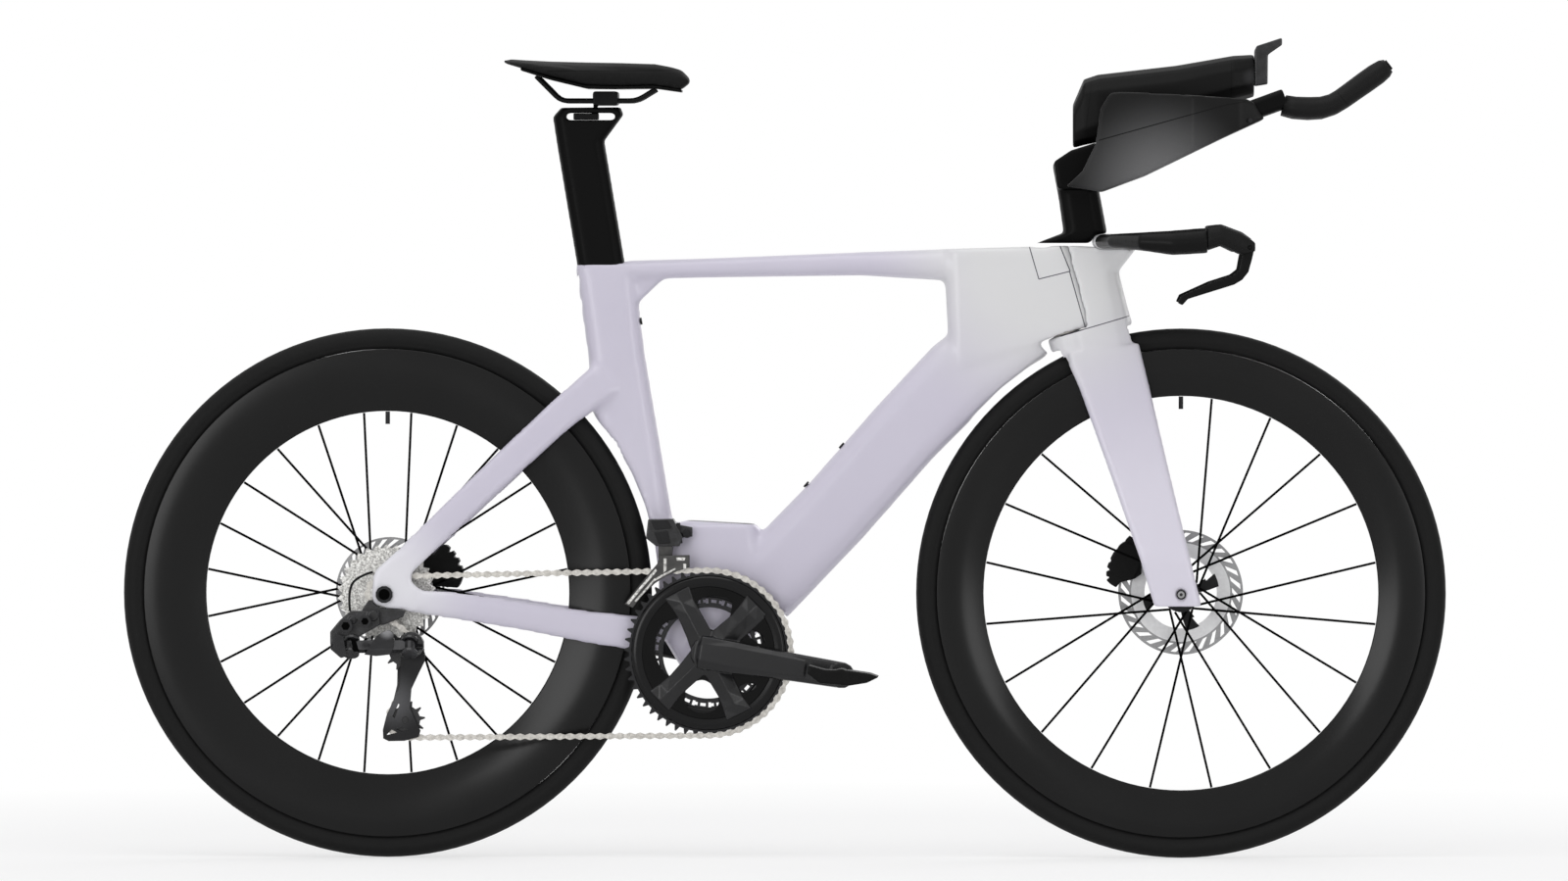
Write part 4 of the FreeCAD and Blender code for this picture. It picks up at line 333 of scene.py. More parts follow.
lilac_paint = finish("lilac_paint", tone(198, 193, 210), tone(209, 205, 219),
                     patch=0.25, roughness=0.36, coat=0.25, shine=0.35)
# The paint pales to grey-white towards the head: partly the paint's own fade, partly painted light.
paler_near(lilac_paint, (0.34, 0.0, 0.775), 0.08, 0.25, tone(222, 222, 223))
# A painted pool of light around the rear axle and along the top of the chain stay.
paler_near(lilac_paint, (-0.50, -0.075, 0.345), 0.015, 0.12, tone(228, 227, 233))
# Painted light: the paint pales down the fork's lower legs, which the lamps leave too dark.
paler_near(lilac_paint, (0.49, -0.05, 0.36), 0.08, 0.34, tone(221, 217, 230))
joint_lines(lilac_paint, [
    (0.313, 0.779, 0.325, 0.738),
    (0.325, 0.738, 0.365, 0.748),
    (0.365, 0.748, 0.352, 0.780),
    (0.364, 0.748, 0.384, 0.677),
    (0.352, 0.665, 0.440, 0.691),
    (-0.125, 0.4305, -0.035, 0.4255),
], seam_width, tone(70, 68, 78))
moulding("frame_shell", ["frame", "steerer_cover", "storage_lid"], lilac_paint,
         grain=0.004, passes=4)

# Frame bolts.
# Two bottle bolts on the down tube and the seat clamp bolt, black button-head screws.


def dress(node_name, material):
    """Puts a finish on a solid that is shown as it is."""
    node = frame["nodes"][node_name]
    node.data.materials.clear()
    node.data.materials.append(material)


black_steel = finish("black_steel", tone(24, 24, 25), tone(40, 40, 42),
                     patch=0.006, roughness=0.38, metal=0.6)
dress("frame_bolts", black_steel)

# Bottom bracket and headset bearings.
# Turned steel cups pressed into the shell and ground bearing rings in the head; only their rims show.
ground_steel = finish("ground_steel", tone(120, 118, 114), tone(168, 165, 160),
                      patch=0.003, roughness=0.3, metal=1.0)
dress("bottom_bracket", ground_steel)
dress("headset_bearings", ground_steel)

# Seat post.
# A deep aerofoil post of black fibre that slides in the frame, with a slot for the saddle clamp.
black_fibre = finish("black_fibre", grey(6), grey(11), patch=0.05, roughness=0.4, shine=0.08)
moulding("seat_post_skin", ["seat_post"], black_fibre, grain=0.002, passes=4)

# Saddle clamp and rails.
# A forged clamp block bolted through the slot grips two hollow oval rails.
forged_black = finish("forged_black", grey(14), grey(24), patch=0.008, roughness=0.42, bump=0.0002, shine=0.1)
moulding("saddle_clamp_block", ["saddle_clamp"], forged_black, grain=0.001, passes=3)
moulding("saddle_rail_pair", ["saddle_rails"], forged_black, grain=0.001, passes=3)

# Saddle shell and pad.
# A stiff moulded shell carries a foam pad under a smooth black cover, pulled in at its edge.
filling_pressure = 4.0
filling_frames = 20
pad_passes = 2
crease_width = 0.0011
moulding("saddle_shell_skin", ["saddle_shell"], black_fibre, grain=0.0014, passes=2)


def stuffed(name, node_name, cover, grain, inset, swell):
    """A foam pad in its cover: the solid drawn in a little, then blown out softly by its filling."""
    pad = smooth_skin(name, [node_name], grain, pad_passes, inset)
    start = [vertex.co.copy() for vertex in pad.data.vertices]
    cloth = pad.modifiers.new("filling", "CLOTH")
    cloth.settings.use_pressure = True
    cloth.settings.uniform_pressure_force = filling_pressure
    cloth.settings.effector_weights.gravity = 0.0
    for step in range(1, filling_frames + 1):
        bpy.context.scene.frame_set(step)
    blown = worked_out(pad)
    ends = [vertex.co.copy() for vertex in blown.vertices]
    for vertex, begin, end in zip(pad.data.vertices, start, ends):
        move = end - begin
        if move.length > swell:
            move = move.normalized() * swell
        vertex.co = begin + move
    bpy.data.meshes.remove(blown)
    bpy.context.scene.frame_set(1)
    rounder = pad.modifiers.new("rounder", "SUBSURF")
    rounder.levels = 1
    rounder.render_levels = 1
    pad.data.materials.append(cover)
    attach(pad, frame["nodes"][node_name]["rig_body"])
    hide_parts(node_name)


pad_cover = finish("pad_cover", grey(22), grey(34), patch=0.003, roughness=0.6, bump=0.0002, shine=0.09)
joint_lines(pad_cover, [(-0.300, 1.002, -0.130, 1.004)], crease_width, grey(6))
stuffed("saddle_cushion", "saddle_pad", pad_cover, grain=0.003, inset=0.0002, swell=0.0012)

# Rear wheel and front wheel.
# Each has a slick tyre on a deep fibre rim, flat black spokes, a turned hub and a rotor: a slotted steel
# band, a pale cooling band inside it and a black carrier with four curved arms.
rubber = finish("tyre_rubber", grey(24), grey(32), patch=0.01, roughness=0.6, bump=0.0001, shine=0.12)
rim_fibre = finish("rim_fibre", grey(14), grey(24), patch=0.12, roughness=0.2, shine=0.2)
hub_alloy = finish("hub_alloy", tone(22, 22, 23), tone(36, 36, 37), patch=0.01, roughness=0.3, metal=0.7)
rotor_steel = finish("rotor_steel", tone(128, 128, 129), tone(158, 158, 159),
                     patch=0.002, roughness=0.34, metal=0.8)
fin_alloy = finish("fin_alloy", tone(214, 214, 215), tone(238, 238, 239),
                   patch=0.004, roughness=0.4, metal=0.3)
spoke_black = finish("spoke_black", grey(3), grey(8), patch=0.02, roughness=0.6, shine=0.03)
rim_inner = {"rear": 0.232, "front": 0.2515}
tyre_radius = 0.3375
axles = {"rear": Vector((-0.506, 0, tyre_radius)), "front": Vector((0.506, 0, tyre_radius))}
tyre_half = 0.0135
bead_radius = 0.3112
bead_share = 0.82
bead_half = tyre_half * bead_share
tyre_steps = 12
tyre_step_degrees = 10.2
rim_half = 0.014
seat_radius = 0.311
rim_depth_shares = (0.0, 0.02, 0.07, 0.18, 0.34, 0.52, 0.70, 0.84, 0.94, 0.99, 1.0)
widest_share = 0.74
rim_nose_share = 0.30
rim_edge_share = 0.93
turn_steps = 120
turning_weld = 1e-6
rotor_line = {"rear": 0.0557, "front": 0.0393}
rotor_radius = {"rear": 0.0697, "front": 0.0797}
rotor_thickness = 0.0018
slot_steps = 140
carrier_steps = 72
upright = (0.0, 0.0, 0.0, 0.0)


def new_piece(name, shape, materials, body, slot, *node_names):
    """Turns a built shape into a piece that rides a body and, where solids are named, stands for them."""
    bmesh.ops.recalc_face_normals(shape, faces=shape.faces)
    piece = placed(name, as_mesh(name, shape))
    for material in materials:
        piece.data.materials.append(material)
    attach(piece, body)
    if node_names:
        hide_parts(*node_names)
    return piece


def turned_ring(name, profile, axle, material, body, slot, node_name):
    """A ring turned about its axle from an outline of radius and side place."""
    shape = bmesh.new()
    corners = [shape.verts.new(axle + Vector((radius, side, 0))) for radius, side in profile]
    edges = [shape.edges.new(pair) for pair in zip(corners, corners[1:] + corners[:1])]
    bmesh.ops.spin(shape, geom=corners + edges, cent=axle, axis=(0, 1, 0), angle=2 * math.pi,
                   steps=turn_steps, use_merge=True)
    bmesh.ops.remove_doubles(shape, verts=shape.verts, dist=turning_weld)
    for face in shape.faces:
        face.smooth = True
    new_piece(name, shape, [material], body, slot, node_name)


def about(centre, radius, turn, side):
    """A place at a radius and a turn about a centre in the side view."""
    return Vector((centre.x + radius * math.cos(turn), side, centre.z + radius * math.sin(turn)))


def thickened(shape, faces, depth):
    """Gives flat faces a thickness across the bike."""
    lifted = bmesh.ops.extrude_face_region(shape, geom=faces)
    moved = [item for item in lifted["geom"] if isinstance(item, bmesh.types.BMVert)]
    bmesh.ops.translate(shape, verts=moved, vec=(0, depth, 0))


def closed(row, step):
    """No opening anywhere in a ring."""
    return False


def pierced_ring(shape, centre, near, far, radii, slants, steps, is_open=closed):
    """Adds a flat ring with rows of openings: a round grid leaned over by the slants, less its open cells."""
    rows = []
    for radius, slant in zip(radii, slants):
        turns = [2 * math.pi * step / steps + slant for step in range(steps)]
        rows.append([shape.verts.new(about(centre, radius, turn, near)) for turn in turns])
    cells = []
    for number, (row, outer) in enumerate(zip(rows, rows[1:])):
        for step in range(steps):
            if not is_open(number, step):
                after = (step + 1) % steps
                cells.append(shape.faces.new((row[step], row[after], outer[after], outer[step])))
    unused = [vertex for row in rows for vertex in row if not vertex.link_faces]
    bmesh.ops.delete(shape, geom=unused, context="VERTS")
    thickened(shape, cells, far - near)


def rim_width_share(share):
    """The rim's width at a share of its depth: a blunt nose, its widest line, a little less at the tyre."""
    if share < widest_share:
        return rim_nose_share + (1.0 - rim_nose_share) * math.sin(share / widest_share * math.pi / 2)
    return 1.0 - (1.0 - rim_edge_share) * ((share - widest_share) / (1.0 - widest_share)) ** 2


def rotor_slot(row, step):
    """Leaning slots in the rotor's steel band, two cells in every five."""
    return row == 1 and step % 5 < 2


def carrier_window(row, step):
    """The gaps between the four arms of the rotor's carrier, which grow slimmer outwards."""
    arm_cells = 4 if row == 1 else 3
    return row > 0 and step % 18 > arm_cells


# Each band of a rotor has how far it stands proud, its radii as shares, its slants, cells and openings.
rotor_bands = (
    (0.0, (0.79, 0.825, 0.96, 1.0), (0.0, 0.0, -0.17, -0.17), slot_steps, rotor_slot),
    (0.0004, (0.58, 0.60, 0.775, 0.795), upright, carrier_steps, closed),
    (0.0006, (0.14, 0.30, 0.45, 0.62), (0.0, 0.0, 0.08, 0.16), carrier_steps, carrier_window),
)
for wheel in ("rear", "front"):
    axle = axles[wheel]
    body = wheel + "_wheel"
    crown = (tyre_radius - bead_radius) / 2
    tyre_profile = []
    for step in range(-tyre_steps, tyre_steps + 1):
        angle = math.radians(step * tyre_step_degrees)
        tyre_profile.append((tyre_radius - crown + crown * math.cos(angle), tyre_half * math.sin(angle)))
    tyre_profile += [(bead_radius, bead_half), (bead_radius, -bead_half)]
    turned_ring(wheel + "_tyre_ring", tyre_profile, axle, rubber, body, "tyre", wheel + "_tyre")
    nose = rim_inner[wheel]
    depth = seat_radius - nose
    wall = [(nose + depth * share, rim_half * rim_width_share(share)) for share in rim_depth_shares]
    rim_profile = wall + [(radius, -side) for radius, side in reversed(wall)]
    turned_ring(wheel + "_rim_ring", rim_profile, axle, rim_fibre, body, "rim_fibre", wheel + "_rim")
    dress(wheel + "_spokes", spoke_black)
    dress(wheel + "_valve", black_steel)
    moulding(wheel + "_hub_shell", [wheel + "_hub"], hub_alloy, grain=0.001, passes=4)
    dress(wheel + "_axle", black_steel)
    near = rotor_line[wheel] - rotor_thickness / 2
    far = near + rotor_thickness
    disc = bmesh.new()
    for number, (proud, shares, slants, steps, is_open) in enumerate(rotor_bands):
        before = len(disc.faces)
        radii = [rotor_radius[wheel] * share for share in shares]
        pierced_ring(disc, axle, near - proud, far + proud, radii, slants, steps, is_open)
        disc.faces.ensure_lookup_table()
        for face in disc.faces[before:]:
            face.material_index = number
    rotor_finishes = (rotor_steel, fin_alloy, hub_alloy)
    new_piece(wheel + "_rotor_disc", disc, rotor_finishes, body, "steel", wheel + "_rotor")

# Axle ends.
# The rear axle's head has a turned rim about a socket, and the front axle shows a bright ring in the
# fork blade.
axle_ends = (
    ("rear", -0.0839, ((0.0072, 0.0090), (0.0024, 0.0046)), black_steel),
    ("front", -0.0664, ((0.0020, 0.0044),), rotor_steel),
)
end_proud, end_sunk = 0.0005, 0.0004
end_steps = 24
for wheel, face_line, rings, metal in axle_ends:
    end_shape = bmesh.new()
    for radii in rings:
        pierced_ring(end_shape, axles[wheel], face_line - end_proud, face_line + end_sunk, radii, upright,
                     end_steps)
    axle_body = frame["nodes"][wheel + "_axle"]["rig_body"]
    new_piece(wheel + "_axle_end", end_shape, [metal], axle_body, "steel")

# Brake calipers.
# Two black forged bodies, each in two halves about its rotor and joined outside the rotor's edge, with
# three cooling slits in the edge that looks away from the hub.


def pressed_plate(shape, outline, near, far):
    """Adds a flat plate cut to an outline in the side view."""
    corners = [shape.verts.new((x, near, z)) for x, z in outline]
    thickened(shape, [shape.faces.new(corners)], far - near)


def side_points(*places):
    """Side-view places given in millimetres."""
    return [(x / 1000.0, z / 1000.0) for x, z in places]


# Each caliper has the side lines of its two halves, then the radii and degrees of its bridge about the axle.
bridge_step = 4
caliper_forms = (
    ("rear", (0.0400, 0.0540), (0.0575, 0.0717), (0.0735, 0.0885), (4, 43), side_points(
        (-453, 377.5), (-446, 390), (-438, 397.5), (-432.5, 397), (-428.5, 393.5), (-431, 387), (-425, 390),
        (-421.5, 385.5), (-426, 379.5), (-418.5, 381), (-416, 376), (-422, 371), (-413.8, 370.5),
        (-412.3, 364), (-411.8, 358), (-415.5, 347.5), (-419, 342.5), (-450.5, 345))),
    ("front", (0.0240, 0.0376), (0.0410, 0.0553), (0.0835, 0.0910), (134, 171), side_points(
        (440.8, 410), (449.5, 404), (452, 392), (449.5, 384), (456, 372), (455.8, 361), (447, 355),
        (429, 350.5), (423.3, 344), (416, 348.5), (411, 353.5), (416.5, 357), (410.9, 358.5), (411, 364),
        (418, 367), (411.9, 369.5), (414, 375.5), (420.5, 375), (416, 380.5), (420, 388), (426, 394.5),
        (433, 397), (436, 405))),
)
for wheel, inner_side, outer_side, (inner, outer), (low, high), outline in caliper_forms:
    halves = bmesh.new()
    pressed_plate(halves, outline, *inner_side)
    pressed_plate(halves, outline, *outer_side)
    there, back = range(low, high, bridge_step), range(high - 1, low - 1, -bridge_step)
    bridge = []
    for radius, angles in ((inner, there), (outer, back)):
        bridge += [about(axles[wheel], radius, math.radians(angle), 0.0).xz for angle in angles]
    pressed_plate(halves, bridge, inner_side[0], outer_side[1])
    moulding(wheel + "_brake_caliper", [wheel + "_caliper"], forged_black,
             grain=0.0009, passes=2, added=halves)

# Cassette.
# Twelve stamped steel sprockets with teeth on a freehub. All but the smallest have a web with a ring of
# lightening holes.
plated_steel = finish("plated_steel", tone(138, 137, 134), tone(226, 225, 222),
                      patch=0.0026, roughness=0.34, metal=0.8, contrast=3.5)
dress("cassette", plated_steel)
web_teeth = (12, 13, 14, 15, 16, 17, 19, 21, 24, 27, 30)
tooth_pitch = 0.0127
smallest_line = -0.0625
sprocket_step = 0.00355
half_sprocket = 0.00075
web_depth = 0.0105
web_rows = (0.0, 0.0012, 0.0042, 0.0056)
web_slants = (0.0, 0.0, 0.05, 0.05)
web_proud, web_clearance = 0.0004, 0.00002


def lightening_hole(row, step):
    """Every second cell in the middle row of a sprocket's web."""
    return row == 1 and step % 2 == 0


cassette_shape = bmesh.new()
for number, teeth in enumerate(web_teeth):
    face_line = smallest_line + sprocket_step * (number + 1) - half_sprocket
    inner = tooth_pitch / (2 * math.sin(math.pi / teeth)) - web_depth
    pierced_ring(cassette_shape, axles["rear"], face_line - web_proud, face_line - web_clearance,
                 [inner + row for row in web_rows], web_slants, teeth * 2, lightening_hole)
new_piece("cassette_webs", cassette_shape, [plated_steel], "cassette_body", "steel")

# Chain.
# Plated roller chain: waisted side plates pressed over riveted pins, with a roller on every pin. Each
# plate and roller lies where its solid does.
chain_steel = finish("chain_steel", tone(160, 157, 152), tone(208, 205, 199),
                     patch=0.004, roughness=0.34, metal=0.8, contrast=2.0)
pin_steel = finish("pin_steel", tone(36, 35, 34), tone(60, 58, 56), patch=0.002, roughness=0.4, metal=0.7)
longest_roller = 0.0125
half_pitch = tooth_pitch / 2
plate_end = 0.0042
plate_waist = 0.0021
plate_steps = 4
plate_step_degrees = 28.0
pin_radius = 0.0017
pin_head = 0.0004
roller_radius = 0.0035
roller_sides = 12
pin_sides = 8
outer_plate_line = 0.0026
solid_chain = bmesh.new()
solid_chain.from_mesh(frame["nodes"]["chain"].data)
bmesh.ops.remove_doubles(solid_chain, verts=solid_chain.verts, dist=turning_weld)
plates, rollers = [], []
seen = set()
for first in solid_chain.verts:
    if first in seen:
        continue
    island, edge_of_search = [], [first]
    seen.add(first)
    while edge_of_search:
        vertex = edge_of_search.pop()
        island.append(vertex.co.copy())
        for edge in vertex.link_edges:
            other = edge.other_vert(vertex)
            if other not in seen:
                seen.add(other)
                edge_of_search.append(other)
    low = Vector([min(place[axis] for place in island) for axis in range(3)])
    high = Vector([max(place[axis] for place in island) for axis in range(3)])
    middle = (low + high) / 2
    if (high - low).xz.length < longest_roller:
        rollers.append((middle, low.y, high.y))
    else:
        along_x = sum((place.x - middle.x) ** 2 for place in island)
        along_z = sum((place.z - middle.z) ** 2 for place in island)
        both = sum((place.x - middle.x) * (place.z - middle.z) for place in island)
        plates.append((middle, low.y, high.y, 0.5 * math.atan2(2 * both, along_x - along_z)))
solid_chain.free()
plate_outline = []
for end in (1, -1):
    for step in range(-plate_steps, plate_steps + 1):
        angle = math.radians(step * plate_step_degrees)
        along = half_pitch + plate_end * math.cos(angle)
        plate_outline.append((end * along, end * plate_end * math.sin(angle)))
    plate_outline.append((0.0, end * plate_waist))


def round_outline(x, z, radius, steps):
    """A round outline in the side view."""
    turns = [2 * math.pi * step / steps for step in range(steps)]
    return [(x + radius * math.cos(turn), z + radius * math.sin(turn)) for turn in turns]


links_shape = bmesh.new()
for middle, near, far in rollers:
    pressed_plate(links_shape, round_outline(middle.x, middle.z, roller_radius, roller_sides), near, far)
for middle, near, far, lean in plates:
    leaned = Matrix.Rotation(lean, 2)
    pressed_plate(links_shape, [middle.xz + leaned @ Vector(corner) for corner in plate_outline], near, far)
    nearest = min(rollers, key=lambda roller: (roller[0] - middle).xz.length)
    away = (near + far) / 2 - (nearest[1] + nearest[2]) / 2
    if abs(away) > outer_plate_line:
        face_line, head = (far, pin_head) if away > 0 else (near, -pin_head)
        for end in (1, -1):
            pin = about(middle, end * half_pitch, lean, 0.0)
            before = len(links_shape.faces)
            pin_outline = round_outline(pin.x, pin.z, pin_radius, pin_sides)
            pressed_plate(links_shape, pin_outline, face_line, face_line + head)
            links_shape.faces.ensure_lookup_table()
            for face in links_shape.faces[before:]:
                face.material_index = 1
new_piece("roller_chain", links_shape, (chain_steel, pin_steel), "frame_body", "steel", "chain")

# Chainrings.
# Two machined alloy rings with cut teeth. The large one wears a stiff gloss-black cover that dishes in to a
# thin flange with a row of round openings.
ring_alloy = finish("ring_alloy", tone(22, 22, 23), tone(38, 38, 40), patch=0.01, roughness=0.34, metal=0.5)
cover_black = finish("cover_black", tone(12, 12, 13), tone(22, 22, 23), patch=0.05, roughness=0.18, shine=0.2)
crank_axle = Vector((-0.095, 0, 0.2625))
cover_inner = 0.0708
cover_outer = 0.0985
cover_profile = ((cover_inner, -0.0489), (cover_inner, -0.0499), (0.0735, -0.0506), (0.0850, -0.0507),
                 (0.0885, -0.0516), (0.0945, -0.0516), (cover_outer, -0.0498), (cover_outer, -0.0489))
large_near, large_far = -0.0488, -0.0472
small_near, small_far = -0.0471, -0.0455
face_slack = 0.0003
# Each ring has its two side lines, a radius below its teeth and the radius of its inner edge.
ring_forms = ((large_near, large_far, 0.095, cover_inner), (small_near, small_far, 0.066, 0.0700))
flange_radii = (0.0580, 0.0630, 0.0642, 0.0680, 0.0692, cover_inner + 0.0005)
flange_slants = (0.0,) * len(flange_radii)
ring_steps = 120


def flange_hole(row, step):
    """Round openings in the flange: wide cells in the middle row, narrow ones above and below."""
    return (row == 2 and step % 3 < 2) or (row in (1, 3) and step % 6 == 0)


rings_shape = bmesh.new()
for near, far, tooth_foot, inner_radius in ring_forms:
    tooth_corners = set()
    for vertex in frame["nodes"]["chainrings"].data.vertices:
        spread = (vertex.co - crank_axle).xz
        if abs(vertex.co.y - near) < face_slack and spread.length > tooth_foot:
            tooth_corners.add((round(math.atan2(spread.y, spread.x), 5), spread.length))
    outline = sorted(tooth_corners)
    outer_row, inner_row = [], []
    for turn, reach in outline:
        outer_row.append(rings_shape.verts.new(about(crank_axle, reach, turn, near)))
        inner_row.append(rings_shape.verts.new(about(crank_axle, inner_radius, turn, near)))
    cells = []
    for step in range(len(outline)):
        corners = (inner_row[step], inner_row[step - 1], outer_row[step - 1], outer_row[step])
        cells.append(rings_shape.faces.new(corners))
    thickened(rings_shape, cells, far - near)
pierced_ring(rings_shape, crank_axle, large_near, large_far, flange_radii, flange_slants, ring_steps,
             flange_hole)
ring_faces_count = len(rings_shape.faces)
cover_turns = [2 * math.pi * step / ring_steps for step in range(ring_steps)]
cover_rows = []
for radius, side in cover_profile:
    cover_rows.append([rings_shape.verts.new(about(crank_axle, radius, turn, side)) for turn in cover_turns])
for row, after in zip(cover_rows, cover_rows[1:] + cover_rows[:1]):
    for step in range(ring_steps):
        face = rings_shape.faces.new((row[step], row[step - 1], after[step - 1], after[step]))
        face.smooth = True
rings_shape.faces.ensure_lookup_table()
for face in rings_shape.faces[ring_faces_count:]:
    face.material_index = 1
new_piece("ring_pair", rings_shape, (ring_alloy, cover_black), "crankset", "black_metal", "chainrings")

# Cranks and pedals.
# Hollow forged arms in dark satin grey on a steel spindle, the right one with a ridged four-armed star over
# a black web with five windows. Clipless pedals turn on steel axles.
crank_grey = finish("crank_grey", tone(26, 26, 27), tone(40, 40, 41), patch=0.05, roughness=0.26, shine=0.3)
web_black = finish("web_black", grey(9), grey(16), patch=0.03, roughness=0.24, shine=0.12)
web_radius = 0.084
web_sides = 96
window_rounds = 2
cut_share = 0.25
web_near, web_far = -0.0538, -0.0500
web_edge = 0.0009
square_angle = 1.2
star_turns = (54.0, 126.5, -126.5, -54.0)
arm_heading = -9.2
star_line = -0.0545
star_back = Vector((0, 0.0045, 0))
# Rows of a star's arm: reach, half width and height of the ridge.
star_rows = ((0.0, 0.0200, 0.0150), (0.030, 0.0155, 0.0100), (0.055, 0.0135, 0.0066), (0.072, 0.0150, 0.0042),
             (0.0870, 0.0175, 0.0010))
# Rows of the crank arm: reach, half width, half width of its face, and the lines of its face and back.
arm_rows = ((-0.021, 0.012, 0.004, -0.0590, -0.0510), (-0.010, 0.0205, 0.0100, -0.0715, -0.0510),
            (0.030, 0.0200, 0.0120, -0.0728, -0.0510), (0.080, 0.0172, 0.0112, -0.0732, -0.0590),
            (0.125, 0.0142, 0.0100, -0.0732, -0.0600))
arm_chamfer = 0.0040
web_windows = (
    side_points((-63, 31), (-48, 43.5), (-28, 43.5), (-22, 30), (-15.5, 8.5), (-23, -11.5), (-48, -31.5),
                (-58, -24), (-68, -4), (-69, 16)),
    side_points((-14, 63.5), (-10.5, 70), (7, 73.5), (27, 70), (31, 61), (27, 43.5), (14.5, 31), (4.5, 28.5),
                (-3, 36), (-10.5, 50)),
    side_points((-28, -44), (-15.5, -35), (-3, -34), (12, -46.5), (14.5, -64), (7, -75), (-10.5, -77),
                (-23, -73), (-31.5, -59)),
    side_points((44.5, 31), (52, 32), (72, 21), (72, 13.5), (64.5, 11), (54.5, 18.5)),
    side_points((37, -44), (44.5, -39), (62, -39), (59.5, -46.5), (44.5, -51.5)),
)


def eased(outline, rounds):
    """A closed outline with its corners cut back again and again, so that it runs round."""
    for turn in range(rounds):
        softer = []
        for (x, z), (next_x, next_z) in zip(outline, outline[1:] + outline[:1]):
            for share in (cut_share, 1.0 - cut_share):
                softer.append((x + share * (next_x - x), z + share * (next_z - z)))
        outline = softer
    return outline


def eased_edges(shape, offset, segments):
    """Takes the sharpness off a shape's square edges."""
    bmesh.ops.recalc_face_normals(shape, faces=shape.faces)
    inside = [edge for edge in shape.edges if len(edge.link_faces) == 2]
    square = [edge for edge in inside if edge.calc_face_angle() > square_angle]
    bmesh.ops.bevel(shape, geom=square, offset=offset, segments=segments, affect="EDGES", profile=0.5,
                    material=-1)


def lofted(shape, rows):
    """Adds a tube of faces through rows of corners, with both its ends capped."""
    for row, after in zip(rows, rows[1:]):
        for step in range(len(row)):
            shape.faces.new((row[step], row[step - 1], after[step - 1], after[step])).smooth = True
    shape.faces.new(rows[0])
    shape.faces.new(rows[-1])


def heading_ways(degrees):
    """The way along a heading in the side view, and the way across it."""
    along = Vector((math.cos(math.radians(degrees)), 0, math.sin(math.radians(degrees))))
    return along, Vector((-along.z, 0, along.x))


web_shape = bmesh.new()
web_edges = []
web_outlines = [round_outline(0, 0, web_radius, web_sides)]
web_outlines += [eased(window, window_rounds) for window in web_windows]
for outline in web_outlines:
    corners = [web_shape.verts.new((crank_axle.x + x, web_near, crank_axle.z + z)) for x, z in outline]
    web_edges += [web_shape.edges.new(pair) for pair in zip(corners, corners[1:] + corners[:1])]
filled = bmesh.ops.triangle_fill(web_shape, use_beauty=True, edges=web_edges)
web_faces = [item for item in filled["geom"] if isinstance(item, bmesh.types.BMFace)]
thickened(web_shape, web_faces, web_far - web_near)
eased_edges(web_shape, web_edge, 2)
new_piece("crank_star_web", web_shape, [web_black], frame["nodes"]["chainrings"]["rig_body"], "black_metal")
dress("crank_spindle", black_steel)
dress("pedal_axles", ground_steel)
ridges = bmesh.new()
for turn in star_turns:
    along, across = heading_ways(arm_heading + turn)
    rows = []
    for reach, half, crest in star_rows:
        centre = Vector((crank_axle.x, star_line, crank_axle.z)) + along * reach
        rows.append([ridges.verts.new(place) for place in (
            centre + across * half + star_back, centre + across * half, centre - Vector((0, crest, 0)),
            centre - across * half, centre - across * half + star_back)])
    lofted(ridges, rows)
along, across = heading_ways(arm_heading)
rows = []
for reach, half, face_half, face_line, back_line in arm_rows:
    centre = Vector((crank_axle.x, 0, crank_axle.z)) + along * reach
    corners = ((half, back_line), (half, face_line + arm_chamfer), (face_half, face_line),
               (-face_half, face_line), (-half, face_line + arm_chamfer), (-half, back_line))
    rows.append([ridges.verts.new(centre + across * wide + Vector((0, side, 0))) for wide, side in corners])
lofted(ridges, rows)
bmesh.ops.recalc_face_normals(ridges, faces=ridges.faces)
for side, added in (("right", ridges), ("left", None)):
    moulding("crank_arm_%s_forging" % side, ["crank_arm_" + side], crank_grey,
             grain=0.001, passes=1, added=added)
    moulding("pedal_%s_body_shell" % side, ["pedal_" + side], forged_black,
             grain=0.0012, passes=3)

# Rear derailleur.
# A motor housing of dark resin hung under the dropout with two ring bolts, a wedge-shaped link, the lower
# knuckle, and a slender curved cage of two plates with triangular windows round two toothed pulleys.
changer_resin = finish("changer_resin", tone(14, 14, 15), tone(44, 44, 46),
                       patch=0.010, roughness=0.26, bump=0.0001, shine=0.42, contrast=2.5)
cage_grey = finish("cage_grey", tone(22, 22, 23), tone(34, 34, 35),
                   patch=0.02, roughness=0.34, metal=0.2, shine=0.25)
# The cage pales towards the middle of its arm: a painted highlight.
paler_near(cage_grey, (-0.494, -0.07, 0.202), 0.0, 0.045, tone(84, 84, 86))
plate_edge = 0.0004
link_grey = finish("link_grey", tone(24, 24, 25), tone(46, 46, 48),
                   patch=0.02, roughness=0.26, metal=0.6, shine=0.6)
# The link pales along the top edge of its wedge: a painted glint.
paler_near(link_grey, (-0.501, -0.106, 0.292), 0.002, 0.013, tone(128, 128, 130))


def outline_piece(name, plates, material, body, slot, *node_names):
    """One piece of flat plates with eased edges, each from a side-view outline and its two side lines."""
    shape = bmesh.new()
    for outline, near, far in plates:
        pressed_plate(shape, outline, near, far)
    eased_edges(shape, plate_edge, 1)
    return new_piece(name, shape, [material], body, slot, *node_names)


